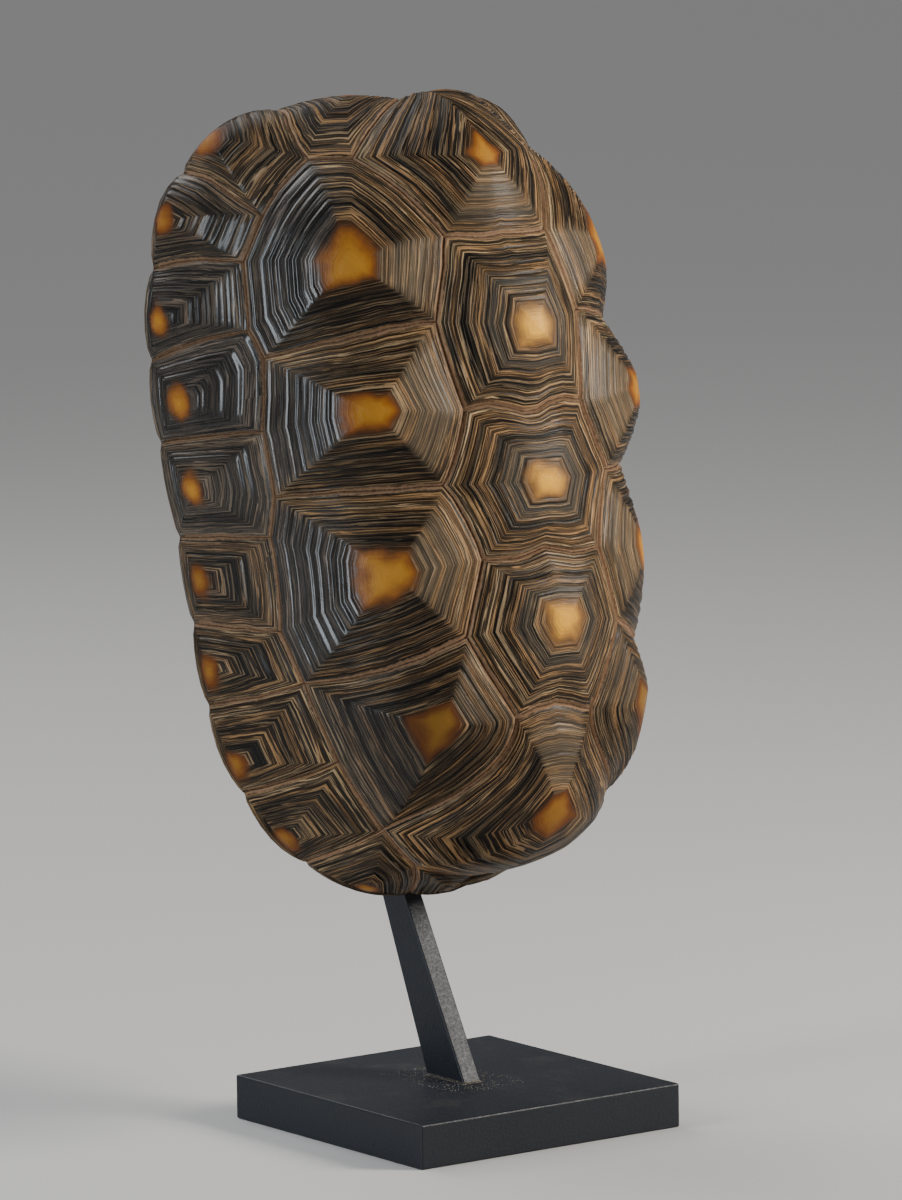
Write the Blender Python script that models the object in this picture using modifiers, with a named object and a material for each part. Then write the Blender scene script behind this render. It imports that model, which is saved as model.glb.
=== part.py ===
"""A tortoise carapace, head end up, held on a slanted flat bar over a square base plate.

Metres, +Z up, the base underside on z = 0 and the animal's left at -X.
The carapace is laid out on a unit disc (the chart): the crown is the centre, the rim is the
circle, +along is the head end and the animal's left is -across. Each scute is a fan of rings
about its areola, so neighbouring scutes share the points of the seam between them.
"""

import math

import bmesh
import bpy
from mathutils import Vector

MM = 0.001

# Stand
BASE_SIDE = 150.0
BASE_THICK = 21.0
BASE_EDGE = 0.8
POST_THICK = 10.0
POST_FOOT_FRONT = -12.7
POST_FOOT_REAR = 17.0
POST_FRONT_LEAN = 28.8
POST_REAR_LEAN = 22.9
KNEE_HEIGHT = 126.0
ARM_END_DEPTH = 15.0
ARM_RISE = 118.0
KNEE_RADIUS = 14.0
EDGE_BREAK = 0.7
GAP = 0.2
PAD_WIDTH = 30.0
PAD_HEIGHT = 46.0
PLATE_THICK = 4.0
FELT_THICK = 3.0
FELT_INSET = 1.0
PAD_CENTRE_Z = 247.0
SCREW_SHANK = 4.0
SCREW_HEAD = 7.5
SCREW_HEAD_DEPTH = 2.3
SCREW_REACH = 12.0
SCREW_PLACES = (4.7, 13.1)

# Carapace, in its own frame: across, along to the head, and depth towards the crown
LEAN = math.radians(8.5)
RIM_CENTRE_Y = 81.5
RIM_CENTRE_Z = 300.0
CROWN_HEIGHT = 151.0
CROWN_SHIFT = -11.5
HALF_WIDTH = 105.5
FRONT_LENGTH = 174.5
REAR_LENGTH = 187.5
FRONT_SQUARENESS = 4.15
REAR_SQUARENESS = 2.75
FRONT_RISE = 68.5
REAR_RISE = 38.0
SHOULDER_SPREAD = 0.046
WAIST = 0.066
WAIST_AT = -45.0
WAIST_REACH = 60.0
SIDE_ROUND = 2.45
FRONT_ROUND = 3.1
REAR_ROUND = 3.55
ROUND_TAPER = -0.32
FRONT_CORNER = -0.43
REAR_CORNER = -0.30
SIDE_FLARE = 0.5
FRONT_FLARE = 1.5
REAR_FLARE = 11.0
QUARTER_DROP = 16.0
NOTCH_DEPTH = 4.0
NOTCH_REACH = 24.0
LIP_RADIUS = 4.0
VENTRAL_WIDTH = 15.0
VENTRAL_STEP = 3.0
WALL_THICK = 5.5
WALL_THICK_AT_RIM = 9.5
SPINE_RIDGE = 2.5
SPINE_REACH = 9.0
SEAM_STEP = 0.085
RING_PLACES = (0.34, 0.68)
RING_HEIGHTS = (0.86, 0.46)
INNER_RADII = (0.90, 0.79, 0.66, 0.52, 0.38, 0.24, 0.11)

# Seam corners of the left half on the chart: name, across, along
MIDLINE = {
    "front": 0.970,
    "v1v2": 0.390,
    "v2v3": 0.115,
    "v3v4": -0.105,
    "v4v5": -0.340,
    "v5s": -0.830,
}
CORNERS = {
    "v1m1": (0.290, 0.540),
    "c1m1": (0.370, 0.550),
    "m2m3": (0.500, 0.460),
    "m3m4": (0.585, 0.405),
    "m4m5": (0.635, 0.295),
    "c1c2": (0.625, 0.240),
    "m5m6": (0.685, 0.110),
    "c2c3": (0.695, -0.020),
    "m6m7": (0.720, -0.095),
    "m7m8": (0.690, -0.265),
    "c3c4": (0.615, -0.340),
    "m9m10": (0.515, -0.455),
    "m10m11": (0.395, -0.580),
    "m11s": (0.280, -0.710),
    "v1v2c1": (0.155, 0.375),
    "v2c1c2": (0.200, 0.228),
    "v2v3c2": (0.172, 0.108),
    "v3c2c3": (0.292, -0.006),
    "v3v4c3": (0.192, -0.112),
    "v4c3c4": (0.238, -0.217),
    "v4v5c4": (0.120, -0.345),
}
# Where each marginal's rear seam meets the rim, in degrees round from the head end
RIM_SEAMS = (26, 45, 58, 70, 82, 96, 108, 119, 132, 147, 172)
# How far each marginal's free edge swells between its seams, first to eleventh, then the tail one
RIM_SWELL = (1.5, 3.5, 5.0, 3.5, 2.0, 1.5, 2.0, 2.5, 3.0, 3.0, 2.0, 1.5)
# Midline scutes: seam chain down the left half, areola along, height
VERTEBRALS = {
    "vertebral_1": (("front", "v1m1", "v1v2c1", "v1v2"), 0.520, 8.0),
    "vertebral_2": (("v1v2", "v1v2c1", "v2c1c2", "v2v3c2", "v2v3"), 0.238, 14.0),
    "vertebral_3": (("v2v3", "v2v3c2", "v3c2c3", "v3v4c3", "v3v4"), 0.002, 9.0),
    "vertebral_4": (("v3v4", "v3v4c3", "v4c3c4", "v4v5c4", "v4v5"), -0.217, 12.5),
    "vertebral_5": (("v4v5", "v4v5c4", "m10m11", "m11s", "v5s"), -0.495, 9.0),
    "supracaudal": (("v5s", "m11s", "rim11", "rim12"), -0.950, 2.0),
}
# Paired scutes: seam polygon, areola across and along, height
PAIRED = {
    "costal_1": (
        ("v1v2c1", "v2c1c2", "c1c2", "m4m5", "m3m4", "m2m3", "c1m1", "v1m1"),
        (0.349, 0.325),
        8.5,
    ),
    "costal_2": (("v2c1c2", "c1c2", "m5m6", "c2c3", "v3c2c3", "v2v3c2"), (0.405, 0.116), 13.0),
    "costal_3": (
        ("v3c2c3", "c2c3", "m6m7", "m7m8", "c3c4", "v4c3c4", "v3v4c3"),
        (0.423, -0.141),
        9.0,
    ),
    "costal_4": (("v4c3c4", "c3c4", "m9m10", "m10m11", "v4v5c4"), (0.292, -0.331), 9.0),
    "marginal_1": (("front", "v1m1", "c1m1", "rim1", "rim0"), (13.0, 0.960), 2.0),
    "marginal_2": (("c1m1", "m2m3", "rim2", "rim1"), (40.0, 0.965), 2.5),
    "marginal_3": (("m2m3", "m3m4", "rim3", "rim2"), (53.0, 0.965), 3.0),
    "marginal_4": (("m3m4", "m4m5", "rim4", "rim3"), (65.5, 0.950), 2.5),
    "marginal_5": (("m4m5", "c1c2", "m5m6", "rim5", "rim4"), (76.6, 0.905), 2.5),
    "marginal_6": (("m5m6", "c2c3", "m6m7", "rim6", "rim5"), (89.5, 0.910), 2.5),
    "marginal_7": (("m6m7", "m7m8", "rim7", "rim6"), (102.2, 0.940), 2.5),
    "marginal_8": (("m7m8", "c3c4", "rim8", "rim7"), (114.0, 0.955), 2.5),
    "marginal_9": (("c3c4", "m9m10", "rim9", "rim8"), (127.0, 0.955), 2.5),
    "marginal_10": (("m9m10", "m10m11", "rim10", "rim9"), (140.0, 0.950), 2.5),
    "marginal_11": (("m10m11", "m11s", "rim11", "rim10"), (159.0, 0.955), 2.0),
}
# The one seam that bows: a cubic's two inner control points
BOWED = {("v4v5c4", "m10m11"): ((0.115, -0.415), (0.300, -0.450))}


def clear_scene():
    for obj in list(bpy.data.objects):
        bpy.data.objects.remove(obj, do_unlink=True)


def rim_chart(degrees, radius=1.0):
    """Chart point at an angle round from the head end, on the animal's left."""
    turn = math.radians(degrees)
    return (-radius * math.sin(turn), radius * math.cos(turn))


def corner(name, side):
    """Chart point of a named corner; side is -1 for the animal's left, +1 for its right."""
    if name in MIDLINE:
        return (0.0, MIDLINE[name])
    if name.startswith("rim"):
        angles = (0, *RIM_SEAMS, 180)
        across, along = rim_chart(angles[int(name[3:])])
        return (-side * across if 0 < angles[int(name[3:])] < 180 else 0.0, along)
    across, along = CORNERS[name]
    return (side * across, along)


def seam_path(first, second, side):
    """Chart points from one corner to the next, without the last one."""
    start, end = corner(first, side), corner(second, side)
    if first.startswith("rim") and second.startswith("rim"):
        from_angle = math.atan2(start[0], start[1])
        to_angle = math.atan2(end[0], end[1])
        if abs(to_angle - from_angle) > math.pi:
            to_angle -= math.copysign(2 * math.pi, to_angle - from_angle)
        count = max(2, round(abs(to_angle - from_angle) / SEAM_STEP))
        steps = [from_angle + (to_angle - from_angle) * i / count for i in range(count)]
        return [(math.sin(turn), math.cos(turn)) for turn in steps]
    bow = BOWED.get((first, second)) or BOWED.get((second, first))
    if bow is None:
        count = max(1, round(math.dist(start, end) / SEAM_STEP))
        return [lerp(start, end, i / count) for i in range(count)]
    inner = [(side * across, along) for across, along in bow]
    if (second, first) in BOWED:
        inner.reverse()
    points = [start, *inner, end]
    count = 5
    return [cubic(points, i / count) for i in range(count)]


def lerp(start, end, t):
    return (start[0] + (end[0] - start[0]) * t, start[1] + (end[1] - start[1]) * t)


def cubic(points, t):
    weights = ((1 - t) ** 3, 3 * t * (1 - t) ** 2, 3 * t * t * (1 - t), t**3)
    return tuple(sum(w * p[axis] for w, p in zip(weights, points)) for axis in (0, 1))


def boundary(chain, side):
    points = []
    for index, name in enumerate(chain):
        points += seam_path(name, chain[(index + 1) % len(chain)], side)
    return points


def scutes():
    """Every scute as (boundary chart points, areola chart point, height)."""
    found = []
    for chain, along, height in VERTEBRALS.values():
        left = []
        for first, second in zip(chain, chain[1:]):
            left += seam_path(first, second, -1)
        left.append(corner(chain[-1], -1))
        right = [(-across, place) for across, place in reversed(left)]
        whole = left + [p for p in right if abs(p[0]) > 1e-6]
        found.append((whole, (0.0, along), height))
    for name, (chain, centre, height) in PAIRED.items():
        if name.startswith("marginal"):
            centre = rim_chart(*centre)
            centre = (-centre[0], centre[1])
        for side in (-1, 1):
            found.append((boundary(chain, side), (side * centre[0], centre[1]), height))
    return found


def rim_point(c, s):
    """Across, along and rise of the rim at a chart direction."""
    length, square, rise = FRONT_LENGTH, FRONT_SQUARENESS, FRONT_RISE
    if s <= 0:
        length, square, rise = REAR_LENGTH, REAR_SQUARENESS, REAR_RISE
    reach = (abs(c) ** square + abs(s) ** square) ** (-1 / square)
    along = length * s * reach
    waist = WAIST * math.exp(-(((along - WAIST_AT) / WAIST_REACH) ** 2))
    across = HALF_WIDTH * c * reach * (1 + SHOULDER_SPREAD * s - waist)
    return across, along, rise * abs(s) ** 3


def swell(degrees):
    """Outward swelling of the rim between two seams, at an angle from the head end."""
    angles = (0, *RIM_SEAMS, 180)
    for index, size in enumerate(RIM_SWELL):
        low, high = angles[index], angles[index + 1]
        if index == len(RIM_SWELL) - 1:
            high = 360 - low
        if low <= degrees <= high:
            arch = math.sin(math.pi * (degrees - low) / (high - low))
            return size * max(arch, 0.0) ** 0.8
    return 0.0


def dome(a, b):
    """Point of the plain dome, before any scute stands up from it, in the shell's frame."""
    r = math.hypot(a, b)
    if r < 1e-6:
        b = r = 1e-6
    c, s = a / r, b / r
    across, along, rise = rim_point(c, s)
    end_round, end_corner, end_flare = FRONT_ROUND, FRONT_CORNER, FRONT_FLARE
    if s <= 0:
        end_round, end_corner, end_flare = REAR_ROUND, REAR_CORNER, REAR_FLARE
    power = SIDE_ROUND + ROUND_TAPER * s + (end_round - SIDE_ROUND) * s * s
    power += end_corner * (2 * s * c) ** 2
    turn = math.pi / 2 * min(r, 1.0)
    out, up = math.sin(turn), max(math.cos(turn), 0.0)
    norm = (out**power + up**power) ** (1 / power)
    out, up = out / norm, up / norm
    flare = SIDE_FLARE + (end_flare - SIDE_FLARE) * s * s
    degrees = abs(math.degrees(math.atan2(a, b)))
    flare += swell(degrees) * max(1 - (1 - r) / 0.22, 0.0)
    out += flare / math.hypot(across, along) * (max(r - 0.55, 0.0) / 0.45) ** 2
    l = CROWN_SHIFT * max(1 - out, 0.0) + along * out
    if s > 0:
        l -= NOTCH_DEPTH * math.exp(-((across * out / NOTCH_REACH) ** 2)) * r**8
    drop = math.exp(-(((r - 0.72) / 0.17) ** 2)) * math.exp(-(((degrees - 35) / 22) ** 2))
    d = rise * (1 - up) + CROWN_HEIGHT * up - QUARTER_DROP * drop
    return Vector((across * out, l, d))


def dome_normal(a, b):
    r = math.hypot(a, b)
    if r > 0.994:
        a, b = a * 0.994 / r, b * 0.994 / r
    step = 0.004
    side = dome(a + step, b) - dome(a - step, b)
    ahead = dome(a, b + step) - dome(a, b - step)
    return side.cross(ahead).normalized()


def to_world(point):
    x, l, d = point
    y = RIM_CENTRE_Y + l * math.sin(LEAN) - d * math.cos(LEAN)
    z = RIM_CENTRE_Z + l * math.cos(LEAN) + d * math.sin(LEAN)
    return Vector((x, y, z)) * MM


def wall_thick(a, b):
    r = math.hypot(a, b)
    rim_share = min(max((r - 0.62) / 0.28, 0.0), 1.0)
    thick = WALL_THICK + (WALL_THICK_AT_RIM - WALL_THICK) * rim_share**2
    ridge = math.exp(-((dome(a, b).x / SPINE_REACH) ** 2)) * min(r, 1 - r, 0.2) / 0.2
    return thick + SPINE_RIDGE * ridge


def inner_point(a, b):
    return dome(a, b) - dome_normal(a, b) * wall_thick(a, b)


def build_carapace(collection, material):
    mesh = bmesh.new()
    known = {}

    def vertex(key, point):
        key = tuple(round(value, 5) for value in key)
        if key not in known:
            known[key] = mesh.verts.new(to_world(point))
        return known[key]

    def strip(first, second):
        count = len(first)
        for i in range(count):
            j = (i + 1) % count
            mesh.faces.new((first[i], first[j], second[j], second[i]))

    rim = {}
    for points, centre, height in scutes():
        loops = [[vertex((*p, 0.0), dome(*p)) for p in points]]
        for p in points:
            if math.hypot(*p) > 0.9999:
                rim[round(math.degrees(math.atan2(p[0], p[1])), 3)] = p
        for place, share in zip(reversed(RING_PLACES), reversed(RING_HEIGHTS)):
            ring = [lerp(centre, p, place) for p in points]
            lift = [dome(*p) + dome_normal(*p) * height * share for p in ring]
            loops.append([vertex((*p, place), q) for p, q in zip(ring, lift)])
        top = vertex((*centre, 2.0), dome(*centre) + dome_normal(*centre) * height)
        for first, second in zip(loops, loops[1:]):
            strip(first, second)
        for i, start in enumerate(loops[-1]):
            mesh.faces.new((start, loops[-1][(i + 1) % len(points)], top))

    order = sorted(angle for angle in rim if angle > -179.999)
    edge = [rim[angle] for angle in order]
    crown = Vector((0.0, 0.0, 1.0))
    outer = [vertex((*p, 0.0), dome(*p)) for p in edge]
    spots = [dome(*p) for p in edge]
    outward, below = [], []
    for i, spot in enumerate(spots):
        tangent = (spots[(i + 1) % len(spots)] - spots[i - 1]).normalized()
        out = crown.cross(tangent).normalized()
        out = out if out.dot(Vector((spot.x, spot.y, 0.0))) > 0 else -out
        outward.append(out)
        below.append((tangent * tangent.dot(crown) - crown).normalized())
    steps = [
        (LIP_RADIUS * (1 - math.cos(math.pi / 4)), LIP_RADIUS * math.sin(math.pi / 4)),
        (LIP_RADIUS, LIP_RADIUS),
        (VENTRAL_WIDTH, VENTRAL_STEP),
    ]
    previous = outer
    for level, (inset, fall) in enumerate(steps):
        ring = [
            vertex((*p, 3.0 + level), spot - out * inset + down * fall)
            for p, spot, out, down in zip(edge, spots, outward, below)
        ]
        strip(previous, ring)
        previous = ring
    for radius in INNER_RADII:
        ring = [
            vertex((*p, 6.0 + radius), inner_point(p[0] * radius, p[1] * radius)) for p in edge
        ]
        strip(previous, ring)
        previous = ring
    middle = vertex((0.0, 0.0, 9.0), inner_point(0.0, 0.0))
    for i, start in enumerate(previous):
        mesh.faces.new((start, previous[(i + 1) % len(previous)], middle))
    bmesh.ops.recalc_face_normals(mesh, faces=mesh.faces)
    if mesh.calc_volume(signed=True) < 0:
        bmesh.ops.reverse_faces(mesh, faces=mesh.faces)
    data = bpy.data.meshes.new("carapace")
    mesh.to_mesh(data)
    mesh.free()
    return link_object(data, "carapace", collection, material)


def link_object(data, name, collection, material):
    obj = bpy.data.objects.new(name, data)
    obj.data.materials.append(material)
    collection.objects.link(obj)
    return obj


def bevel(obj, width, segments=2):
    edge = obj.modifiers.new("edges", "BEVEL")
    edge.width = width * MM
    edge.segments = segments
    edge.limit_method = "ANGLE"
    edge.angle_limit = math.radians(40)
    return edge


def cut(obj, cutter):
    hole = obj.modifiers.new("hole", "BOOLEAN")
    hole.operation = "DIFFERENCE"
    hole.solver = "EXACT"
    hole.object = cutter


def box(name, size, centre, collection, material):
    mesh = bmesh.new()
    bmesh.ops.create_cube(mesh, size=1.0)
    bmesh.ops.scale(mesh, verts=mesh.verts, vec=Vector(size) * MM)
    bmesh.ops.translate(mesh, verts=mesh.verts, vec=Vector(centre) * MM)
    data = bpy.data.meshes.new(name)
    mesh.to_mesh(data)
    mesh.free()
    return link_object(data, name, collection, material)


def fillet(before, at, after, radius, count=6):
    """Points of an arc that rounds the corner between two straight edges."""
    to_before = (Vector(before) - Vector(at)).normalized()
    to_after = (Vector(after) - Vector(at)).normalized()
    half = to_before.angle(to_after) / 2
    centre = Vector(at) + (to_before + to_after).normalized() * (radius / math.sin(half))
    first = Vector(at) + to_before * (radius / math.tan(half)) - centre
    last = Vector(at) + to_after * (radius / math.tan(half)) - centre
    swing = first.angle_signed(last)
    turned = []
    for i in range(count + 1):
        angle = -swing * i / count
        c, s = math.cos(angle), math.sin(angle)
        turned.append((centre.x + c * first.x - s * first.y, centre.y + s * first.x + c * first.y))
    return turned


def pad_wall():
    """Y of the innermost bone behind the pad."""
    nearest = -1000.0
    for i in range(-12, 13):
        for j in range(-60, 10):
            point = to_world(inner_point(i / 100, j / 100)) / MM
            if abs(point.x) < PAD_WIDTH / 2 and abs(point.z - PAD_CENTRE_Z) < PAD_HEIGHT / 2:
                nearest = max(nearest, point.y)
    return nearest


def build_post(collection, material, arm_y):
    low = BASE_THICK + GAP
    rise = KNEE_HEIGHT - BASE_THICK
    knee_front = POST_FOOT_FRONT + rise * math.tan(math.radians(POST_FRONT_LEAN))
    knee_rear = POST_FOOT_REAR + (rise + 14) * math.tan(math.radians(POST_REAR_LEAN))
    under = (arm_y, PAD_CENTRE_Z - ARM_END_DEPTH / 2)
    over = (arm_y, PAD_CENTRE_Z + ARM_END_DEPTH / 2)
    foot_front, foot_rear = (POST_FOOT_FRONT, low), (POST_FOOT_REAR, low)
    inside = fillet(foot_front, (knee_front, KNEE_HEIGHT), under, KNEE_RADIUS / 2)
    outside = fillet(over, (knee_rear, KNEE_HEIGHT + 14), foot_rear, KNEE_RADIUS)
    profile = [foot_front, *inside, under, over, *outside, foot_rear]
    mesh = bmesh.new()
    ring = [mesh.verts.new(Vector((-POST_THICK / 2, y, z)) * MM) for y, z in profile]
    face = mesh.faces.new(ring)
    moved = bmesh.ops.extrude_face_region(mesh, geom=[face])["geom"]
    shifted = [item for item in moved if isinstance(item, bmesh.types.BMVert)]
    bmesh.ops.translate(mesh, verts=shifted, vec=Vector((POST_THICK * MM, 0.0, 0.0)))
    bmesh.ops.recalc_face_normals(mesh, faces=mesh.faces)
    data = bpy.data.meshes.new("post")
    mesh.to_mesh(data)
    mesh.free()
    post = link_object(data, "post", collection, material)
    bevel(post, EDGE_BREAK)
    return post


def screw_profile(clearance):
    """Half outline of a countersunk screw from its head up, grown by a clearance."""
    shank, head = SCREW_SHANK / 2 + clearance, SCREW_HEAD / 2 + clearance
    top = BASE_THICK + SCREW_REACH + clearance
    start = 0.5 if clearance == 0 else -1.0
    neck = 1.0 + SCREW_HEAD_DEPTH
    return [(0, start), (head, start), (head, 1.0), (shank, neck), (shank, top), (0, top)]


def turned(name, outline, y, collection, material):
    """A body turned about a vertical axis, made with a Screw modifier."""
    data = bpy.data.meshes.new(name)
    points = [(radius * MM, 0.0, z * MM) for radius, z in outline]
    data.from_pydata(points, [(i, i + 1) for i in range(len(points) - 1)], [])
    obj = link_object(data, name, collection, material)
    obj.location.y = y * MM
    spin = obj.modifiers.new("turn", "SCREW")
    spin.axis = "Z"
    spin.steps = spin.render_steps = 24
    spin.use_merge_vertices = True
    spin.merge_threshold = 0.00001
    spin.use_normal_calculate = True
    return obj


def make_material(name, colour, roughness, metallic=0.0):
    material = bpy.data.materials.new(name)
    material.use_nodes = True
    shader = material.node_tree.nodes["Principled BSDF"]
    shader.inputs["Base Color"].default_value = (*colour, 1.0)
    shader.inputs["Roughness"].default_value = roughness
    shader.inputs["Metallic"].default_value = metallic
    return material


def main():
    clear_scene()
    parts = bpy.data.collections.new("tortoise_carapace_on_stand")
    helpers = bpy.data.collections.new("helpers")
    for collection in (parts, helpers):
        bpy.context.scene.collection.children.link(collection)
    keratin = make_material("keratin", (0.16, 0.09, 0.045), 0.35)
    coat = make_material("black_coat", (0.012, 0.012, 0.013), 0.5)
    felt = make_material("felt", (0.02, 0.02, 0.02), 0.95)
    steel = make_material("zinc_steel", (0.55, 0.55, 0.56), 0.35, 1.0)

    build_carapace(parts, keratin)
    size = (BASE_SIDE, BASE_SIDE, BASE_THICK)
    base = box("base_plate", size, (0, 0, BASE_THICK / 2), parts, coat)
    bevel(base, BASE_EDGE)

    wall = pad_wall() + GAP
    felt_size = (PAD_WIDTH - 2 * FELT_INSET, FELT_THICK, PAD_HEIGHT - 2 * FELT_INSET)
    box("felt_pad", felt_size, (0, wall + FELT_THICK / 2, PAD_CENTRE_Z), parts, felt)
    plate_y = wall + FELT_THICK + GAP + PLATE_THICK / 2
    plate_size = (PAD_WIDTH, PLATE_THICK, PAD_HEIGHT)
    plate = box("pad_plate", plate_size, (0, plate_y, PAD_CENTRE_Z), parts, coat)
    bevel(plate, EDGE_BREAK)
    post = build_post(parts, coat, plate_y + PLATE_THICK / 2 + GAP)

    for number, y in enumerate(SCREW_PLACES, 1):
        turned(f"base_screw_{number}", screw_profile(0.0), y, parts, steel)
        hole = turned(f"screw_hole_{number}", screw_profile(GAP), y, helpers, steel)
        hole.hide_render = True
        hole.display_type = "WIRE"
        cut(base, hole)
        cut(post, hole)


main()
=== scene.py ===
"""A tortoise carapace on a black stand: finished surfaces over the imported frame."""

import math
import bmesh
import bpy
import numpy as np
from bpy.props import FloatProperty, FloatVectorProperty, IntProperty, PointerProperty
from mathutils import Matrix, Vector, geometry, noise


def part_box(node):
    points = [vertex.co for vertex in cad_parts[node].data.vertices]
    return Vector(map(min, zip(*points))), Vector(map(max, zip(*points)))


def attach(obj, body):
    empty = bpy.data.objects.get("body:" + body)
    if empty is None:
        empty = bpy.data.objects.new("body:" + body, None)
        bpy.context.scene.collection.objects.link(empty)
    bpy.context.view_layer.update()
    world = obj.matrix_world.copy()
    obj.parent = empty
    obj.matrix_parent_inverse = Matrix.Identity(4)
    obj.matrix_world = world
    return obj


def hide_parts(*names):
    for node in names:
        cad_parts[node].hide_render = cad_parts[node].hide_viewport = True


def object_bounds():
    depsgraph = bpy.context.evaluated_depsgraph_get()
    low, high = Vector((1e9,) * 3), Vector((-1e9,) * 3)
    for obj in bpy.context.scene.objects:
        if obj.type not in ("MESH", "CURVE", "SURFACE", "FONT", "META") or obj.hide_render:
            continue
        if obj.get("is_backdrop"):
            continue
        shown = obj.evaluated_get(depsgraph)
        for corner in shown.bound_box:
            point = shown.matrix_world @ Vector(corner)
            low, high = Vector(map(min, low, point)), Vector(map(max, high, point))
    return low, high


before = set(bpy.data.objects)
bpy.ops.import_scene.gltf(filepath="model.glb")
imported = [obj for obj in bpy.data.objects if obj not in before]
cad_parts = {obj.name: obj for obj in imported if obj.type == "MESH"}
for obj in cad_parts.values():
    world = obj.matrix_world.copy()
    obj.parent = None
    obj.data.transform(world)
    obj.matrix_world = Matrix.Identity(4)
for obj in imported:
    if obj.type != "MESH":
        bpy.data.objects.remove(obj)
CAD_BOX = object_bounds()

bl_info = {
    "name": "Tortoise carapace on a stand",
    "version": (1, 0, 0),
    "blender": (4, 5, 0),
    "location": "3D View > Sidebar > Carapace",
    "description": "Builds a tortoise carapace with growth rings on a slanted bar and plate",
    "category": "Add Mesh",
}

MM = 0.001

# The carapace in its own frame: across, along to the head, and depth towards the crown
LEAN = math.radians(8.5)
RIM_CENTRE_Y = 81.5
RIM_CENTRE_Z = 300.0
CROWN_HEIGHT = 151.0
CROWN_SHIFT = -11.5
HALF_WIDTH = 105.5
FRONT_LENGTH = 174.5
REAR_LENGTH = 187.5
FRONT_SQUARENESS = 4.15
REAR_SQUARENESS = 2.75
FRONT_RISE = 68.5
REAR_RISE = 38.0
SHOULDER_SPREAD = 0.046
WAIST = 0.066
WAIST_AT = -45.0
WAIST_REACH = 60.0
SIDE_ROUND = 2.45
FRONT_ROUND = 3.1
REAR_ROUND = 3.55
ROUND_TAPER = -0.32
FRONT_CORNER = -0.43
REAR_CORNER = -0.30
SIDE_FLARE = 0.5
FRONT_FLARE = 1.5
REAR_FLARE = 11.0
QUARTER_DROP = 16.0
# Where the quarters drop: ring on the chart and its reach, angle from the ends and its spread
QUARTER_PLACE = 0.72
QUARTER_REACH = 0.17
QUARTER_TURN = 35.0
QUARTER_SPREAD = 22.0
# On the chart: how far in the rim's swelling reaches, where its flare starts and how it grows
SWELL_REACH = 0.22
FLARE_START = 0.55
FLARE_REACH = 0.45
NOTCH_DEPTH = 4.0
NOTCH_REACH = 24.0
LIP_RADIUS = 3.8
LIP_STEPS = 5
VENTRAL_WIDTH = 14.6
VENTRAL_STEP = 3.0
VENTRAL_STEPS = 5
WALL_THICK = 5.5
WALL_THICK_AT_RIM = 9.5
SPINE_RIDGE = 2.2
SPINE_REACH = 9.0
RIB_PITCH = 36.0
RIB_HEIGHT = 0.9
INNER_RADII = np.concatenate([[0.93, 0.89, 0.84], np.linspace(0.78, 0.04, 17)])

# Seams: how far apart their points are on the chart, how much they wander, and that wander's seed
SEAM_STEP = 0.034
SEAM_WANDER = 0.0035
SEAM_SEED = 5
# A seam distance in mm that no seam effect reaches
FAR_FROM_SEAM = 30.0
# Rings of points in a scute, and growth years from its seam to its areola
RINGS = {"vertebral": 86, "costal": 98, "marginal": 54}
YEARS = {"vertebral": 23.0, "costal": 27.0, "marginal": 17.0}
SEAM_RINGS = (0.010, 0.022, 0.036)
INNER_RINGS = (0.050, 0.965)
# Fine ridges in a growth year, and how far one step of the seed moves them
RIDGE_PACE = 1.15
SEED_STEP = 0.37
# Under the lip: mm of growth line in a year, and how far areola, paleness and shine reach
LIP_YEAR = 1.7
LIP_AREOLA_REACH = 16.0
LIP_PALE_REACH = 12.0
LIP_SHINE_REACH = 8.0

# Seam corners on the chart: on the midline, how far along, and on the left half, across and along
MIDLINE = {
    "front": 0.970,
    "v1v2": 0.390,
    "v2v3": 0.115,
    "v3v4": -0.105,
    "v4v5": -0.340,
    "v5s": -0.830,
}
CORNERS = {
    "v1m1": (0.290, 0.540),
    "c1m1": (0.370, 0.550),
    "m2m3": (0.500, 0.460),
    "m3m4": (0.585, 0.405),
    "m4m5": (0.635, 0.295),
    "c1c2": (0.625, 0.240),
    "m5m6": (0.685, 0.110),
    "c2c3": (0.695, -0.020),
    "m6m7": (0.720, -0.095),
    "m7m8": (0.690, -0.265),
    "c3c4": (0.615, -0.340),
    "m9m10": (0.515, -0.455),
    "m10m11": (0.395, -0.580),
    "m11s": (0.280, -0.710),
    "v1v2c1": (0.155, 0.375),
    "v2c1c2": (0.200, 0.228),
    "v2v3c2": (0.172, 0.108),
    "v3c2c3": (0.292, -0.006),
    "v3v4c3": (0.192, -0.112),
    "v4c3c4": (0.238, -0.217),
    "v4v5c4": (0.120, -0.345),
}
# Where each marginal's rear seam meets the rim, in degrees round from the head end
RIM_SEAMS = (26, 45, 58, 70, 82, 96, 108, 119, 132, 147, 172)
# How far each marginal's free edge swells between its seams, first to eleventh, then the tail one
RIM_SWELL = (1.5, 3.5, 5.0, 3.5, 2.0, 1.5, 2.0, 2.5, 3.0, 3.0, 2.0, 1.5)
# Seams that bow, with the points that pull them
BOWED = {("v4v5c4", "m10m11"): ((0.115, -0.415), (0.300, -0.450))}
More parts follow.
